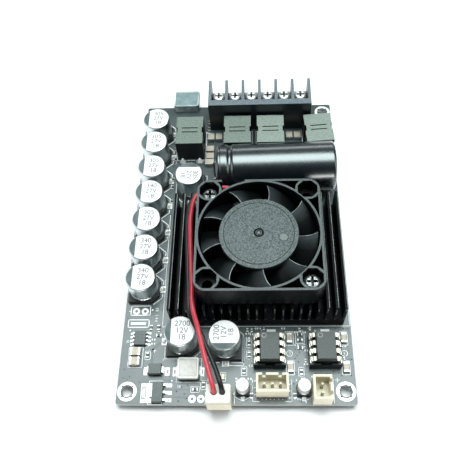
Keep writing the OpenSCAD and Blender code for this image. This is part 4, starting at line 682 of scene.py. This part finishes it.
# can tops: a dark band on one side and three rows of plain numbers
canTop, smallCanTop = 0.0116, 0.007
bandHalf = 54  # degrees, half the band's arc
bandTurns = [(railX, y, 180) for y in railY]
bandTurns += [(x, y, turn + 180) for x, y, turn in bigCans]
firstRows = ["305", "305", "305", "340", "305", "340", "340", "305", "2700", "2700"]
faces, bands, words = [], [], []
for (x, y, turn), firstRow in zip(bandTurns, firstRows):
    arc = [math.radians(turn - bandHalf + 2 * bandHalf * k / 20) for k in range(21)]
    faces.append(disc(x, y, 4.66, 48))
    bands.append([(x + 4.62 * math.cos(t), y + 4.62 * math.sin(t)) for t in arc])
    across = turn - 180
    rows = (firstRow, "12V" if firstRow == "2700" else "27V", "18")
    for text, step in zip(rows, (2.35, 0.1, -2.1)):
        px, py = turned([(0.75, step)], x, y, across)[0]
        words.append((text, px, py, 2.5, across))
addLayer("canFaces", faces, canTop, "canFace", "canFace")
addLayer("canBands", bands, canTop, "canBand", "printBand")
addWords("canNumbers", words, canTop, "canPrint", "print")
smallFaces = [disc(x, y, 1.76, 32) for x, y in smallCans]
addLayer("smallCanFaces", smallFaces, smallCanTop, "canFace", "canFace")

# painted shade: dark rings at the bottoms of the moulded rings and round the shaft, turning with the rotor
fanX, fanY, hubTop, hubR = 7.75, -12.9, 0.0245, 12.5
mouldX, mouldY = 7.7, -1.7
hubGrooveShades = {
    "hubRimShade": dict(spot=(0, 0), inner=hubR - 1.5, outer=hubR - 1.3, drop=0.0002, finish="darkLineAndShade"),
    "hubCentreShade": dict(spot=(0, 0), inner=1.0, outer=1.65, drop=0.0004, finish="hole"),
    "hubDimpleShade": dict(spot=(0, 0), inner=0.5, outer=0.78, drop=0, finish="hole"),
    "hubMouldShade": dict(spot=(mouldX, mouldY), inner=1.35, outer=1.55, drop=0.00012, finish="darkLineAndShade"),
}
for name, grooveShade in hubGrooveShades.items():
    x, y = grooveShade["spot"]
    ring = ringPart(fanX + x, fanY + y, grooveShade["inner"] + 0.01, grooveShade["outer"] - 0.01, steps=64)
    addLayer(name, [ring], hubTop - grooveShade["drop"], "film", grooveShade["finish"], "rotor")
addLayer("shaftTip", [disc(fanX, fanY, 0.42, 24)], hubTop, "film", "shaftEnd", "rotor")
mouldSpot = [disc(fanX + mouldX, fanY + mouldY, 1.34, 40)]
addLayer("mouldSpot", mouldSpot, hubTop, "film", "mouldSpot", "rotor")

# lit leading edge of each fan blade, on the same curve as the blade
bladeCount, bladeTip, bladeTop = 9, 18.6, 23.8
bladeStart, bladeSweep = -4.6, 5.5  # degrees at the hub, and how far the tip runs ahead
for blade in range(bladeCount):
    edge = []
    for k in range(9):
        r = hubR + 0.1 + (bladeTip - hubR - 0.2) * k / 8
        ahead = bladeStart + bladeSweep * ((r - hubR) / (bladeTip - hubR)) ** 2
        turn = math.radians(blade * 360 / bladeCount + ahead)
        edge.append(Vector((fanX + r * math.cos(turn), fanY + r * math.sin(turn), bladeTop)) * mm)
    name = "bladeEdge%d" % blade
    addPiece(name, tubeMesh(name, edge, 0.00024, 8), "bladeEdge", "rotor")

# painted highlights on the top edges of the fins that show beside the fan, and painted glints on the fin
# fronts in front of the fan
finX = [-21.2 + 2.76 * k for k in range(21)]
finTop, finFront, finRear = 15.0, -34.65, 8.85
besideFan = [x for x in finX if x < -13 or x > 28]
finEdgeHighlights = [rectangle(x + 0.8, (finFront + finRear) / 2, 0.14, finRear - finFront - 0.5) for x in besideFan]
addLayer("finEdgeHighlights", finEdgeHighlights, finTop * mm, "film", "edgeHighlight")
glintSpans = [(0.0112, 0.0146), (0.0096, 0.0138), (0.0126, 0.0144)]  # low and high end, every third fin
for part, span in enumerate(glintSpans):
    name = "finFrontGlints%d" % part
    glints = [rectangle(x + 0.45, finFront - 0.011, 0.3, 0.014) for x in finX[part::3]]
    addPiece(name, prismMesh(name, glints, *span), "dimGlint")
finFootGlints = [rectangle(x + 0.45, finFront - 0.011, 0.4, 0.014) for x in finX]
addPiece("finFootGlints", prismMesh("finFootGlints", finFootGlints, 0.0062, 0.0067), "edgeHighlight")

# painted highlights on the rear socket's rolled rim and on its front, and the supply inductor's inset top
shellLow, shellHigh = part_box("edge_socket")
rimX, rimY = (shellLow.x + shellHigh.x) / 2 / mm, (shellLow.y + shellHigh.y) / 2 / mm
rimW, rimL = (shellHigh.x - shellLow.x) / mm - 0.9, (shellHigh.y - shellLow.y) / mm - 0.9
rimHighlight = frameLine(rimX, rimY, rimW, rimL, 0.32)
addLayer("socketRimHighlight", rimHighlight, shellHigh.z, "film", "socketRimHighlight")
frontHighlight = [rectangle(rimX, shellLow.y / mm - 0.011, rimW, 0.014)]
addPiece("socketFrontHighlight", prismMesh("socketFrontHighlight", frontHighlight, 0.0019, 0.0045), "socketRimHighlight")
coilLow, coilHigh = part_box("supply_inductor")
panelX, panelY = (coilLow.x + coilHigh.x) / 2 / mm, (coilLow.y + coilHigh.y) / 2 / mm
panelEdge = frameLine(panelX, panelY, 5.3, 5.3, 0.16)
addLayer("supplyLine", panelEdge, coilHigh.z, "filmLine", "supplyLine")
panel = [rectangle(panelX, panelY, 4.9, 4.9)]
addLayer("supplyPanel", panel, coilHigh.z, "film", "supplyPanel")

# contacts that show on the socket rails beside the chip legs
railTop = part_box("chip_sockets")[1].z
legPitch = 2.54
contacts = []
for x, y in sockets:
    for k in range(4):
        legY = y + (k - 1.5) * legPitch
        for side in (-1, 1):
            contacts.append(rectangle(x + side * 4.35, legY + 0.75, 0.8, 1.0))
            contacts.append(rectangle(x + side * 4.75, legY, 0.35, 1.5))
addLayer("socketContacts", contacts, railTop, "contact", "legTin")

# painted highlight: a light line round the first-pin dimple of each socketed chip
dimpleHighlights = []
for name in ("opamp_1", "opamp_2"):
    chipLow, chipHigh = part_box(name)
    dimpleHighlights.append(ringPart(chipLow.x / mm + 1.5, chipHigh.y / mm - 1.5, 0.56, 0.78, steps=32))
addLayer("dimpleHighlights", dimpleHighlights, chipHigh.z, "film", "supplyLine")

# yellow lens over the lamp chip
lens = prismMesh("lampLens", [rectangle(-4.0, -51.9, 0.92, 1.08)], boardTop + 0.00005, boardTop + 0.00068)
addPiece("lampLens", lens, "lampLens")

# solder at the larger joints: x, y, radius, height
solder = [(-21.3, 32.5, 1.5, 1.9), (-14.7, 32.5, 1.5, 1.9), (-8.6, 18.0, 0.7, 0.6), (-8.6, 25.5, 0.7, 0.6)]
solder += [(railX + 5.95, y, 0.95, 0.8) for y in railY]
solder += [(x, y - 3.0, 0.55, 0.5) for x, y in smallCans]
solder += [(-3.3, -47.75, 0.9, 0.7), (-23.4, -40.3, 0.8, 0.6), (-11.0, -40.3, 0.8, 0.6)]
addPiece("solderFillets", coneMesh("solderFillets", solder), "pad")
print("prints and solder added")

# camera, floor and light
cameraData = bpy.data.cameras.new("mainCamera")
cameraData.lens = 44.617
cameraData.sensor_width = 36
camera = bpy.data.objects.new("mainCamera", cameraData)
camera.location = (0.00777, -0.10377, 0.18096)
camera.rotation_euler = [math.radians(turn) for turn in (30.131, 2.56, 0.69)]
bpy.context.scene.collection.objects.link(camera)
bpy.context.scene.camera = camera

floorZ, floorR = -0.0019, 0.6
floorRing = [(x, y, floorZ) for x, y in disc(0, 0, floorR, 96)]
floorMesh = bpy.data.meshes.new("floor")
floorMesh.from_pydata(floorRing, [], [list(range(96))])
floor = bpy.data.objects.new("floor", floorMesh)
bpy.context.scene.collection.objects.link(floor)
floorLook = dict(base=(0.9, 0.9, 0.91), vary=(0.93, 0.93, 0.94), rough=0.6, scale=30, bump=0.0)
finishes["floor"] = makeFinish("floor", floorLook)
floorMesh.materials.append(finishes["floor"])

bpy.context.scene.view_settings.view_transform = "Standard"
world = bpy.data.worlds.new("studio")
bpy.context.scene.world = world
world.use_nodes = True
worldTree = world.node_tree
background = worldTree.nodes["Background"]
skyPlace = addNode(worldTree, "ShaderNodeTexCoord")
skyParts = addNode(worldTree, "ShaderNodeSeparateXYZ")
skyRamp = addNode(worldTree, "ShaderNodeValToRGB")  # darker towards the viewer's side, white behind
skyRange = addNode(worldTree, "ShaderNodeMapRange")
skyRange.inputs["From Min"].default_value = -1.0
skyRange.inputs["From Max"].default_value = 1.0
skyRamp.color_ramp.elements[0].color = (0.42, 0.44, 0.46, 1)
skyRamp.color_ramp.elements[1].color = (1.0, 1.0, 1.0, 1)
skyRamp.color_ramp.elements[0].position = 0.2
skyRamp.color_ramp.elements[1].position = 0.62
link(worldTree, skyPlace.outputs["Generated"], skyParts.inputs[0])
link(worldTree, skyParts.outputs["Y"], skyRange.inputs["Value"])
link(worldTree, skyRange.outputs["Result"], skyRamp.inputs["Fac"])
link(worldTree, skyRamp.outputs["Color"], background.inputs["Color"])
background.inputs["Strength"].default_value = 0.09
backdrop = addNode(worldTree, "ShaderNodeBackground")  # what is seen behind the floor
backdrop.inputs["Color"].default_value = (0.93, 0.93, 0.94, 1)
seen = addNode(worldTree, "ShaderNodeLightPath")
choose = addNode(worldTree, "ShaderNodeMixShader")
link(worldTree, seen.outputs["Is Camera Ray"], choose.inputs[0])
link(worldTree, background.outputs[0], choose.inputs[1])
link(worldTree, backdrop.outputs[0], choose.inputs[2])
link(worldTree, choose.outputs[0], worldTree.nodes["World Output"].inputs["Surface"])

lamps = {
    "softBox": dict(spot=(0.03, 0.08, 0.45), aim=(0.01, 0, 0), size=(0.5, 0.26), power=3.5,
                    tint=(0.9, 1.0, 1.0)),
    "frontFill": dict(spot=(0.0, -0.6, 0.07), aim=(0, 0, 0.01), size=(0.5, 0.12), power=1.7,
                      tint=(1.0, 0.99, 0.97)),
    "rearLight": dict(spot=(0.0, 0.6, 0.3), aim=(0, 0, 0.01), size=(0.6, 0.12), power=0.75,
                      tint=(0.95, 1.0, 1.0)),
    "leftLight": dict(spot=(-0.5, -0.05, 0.25), aim=(0, 0, 0), size=(0.3, 0.3), power=0.6,
                      tint=(1.0, 1.0, 1.0)),
    "rightLight": dict(spot=(0.5, -0.05, 0.25), aim=(0, 0, 0), size=(0.3, 0.3), power=0.6,
                       tint=(1.0, 1.0, 1.0)),
}
for name, lamp in lamps.items():
    data = bpy.data.lights.new(name, "AREA")
    data.shape = "RECTANGLE"
    data.size, data.size_y = lamp["size"]
    data.energy = lamp["power"]
    data.color = lamp["tint"]
    holder = bpy.data.objects.new(name, data)
    holder.location = lamp["spot"]
    aim = Vector(lamp["aim"]) - Vector(lamp["spot"])
    holder.rotation_euler = aim.to_track_quat("-Z", "Y").to_euler()
    bpy.context.scene.collection.objects.link(holder)
print("camera and lights set")
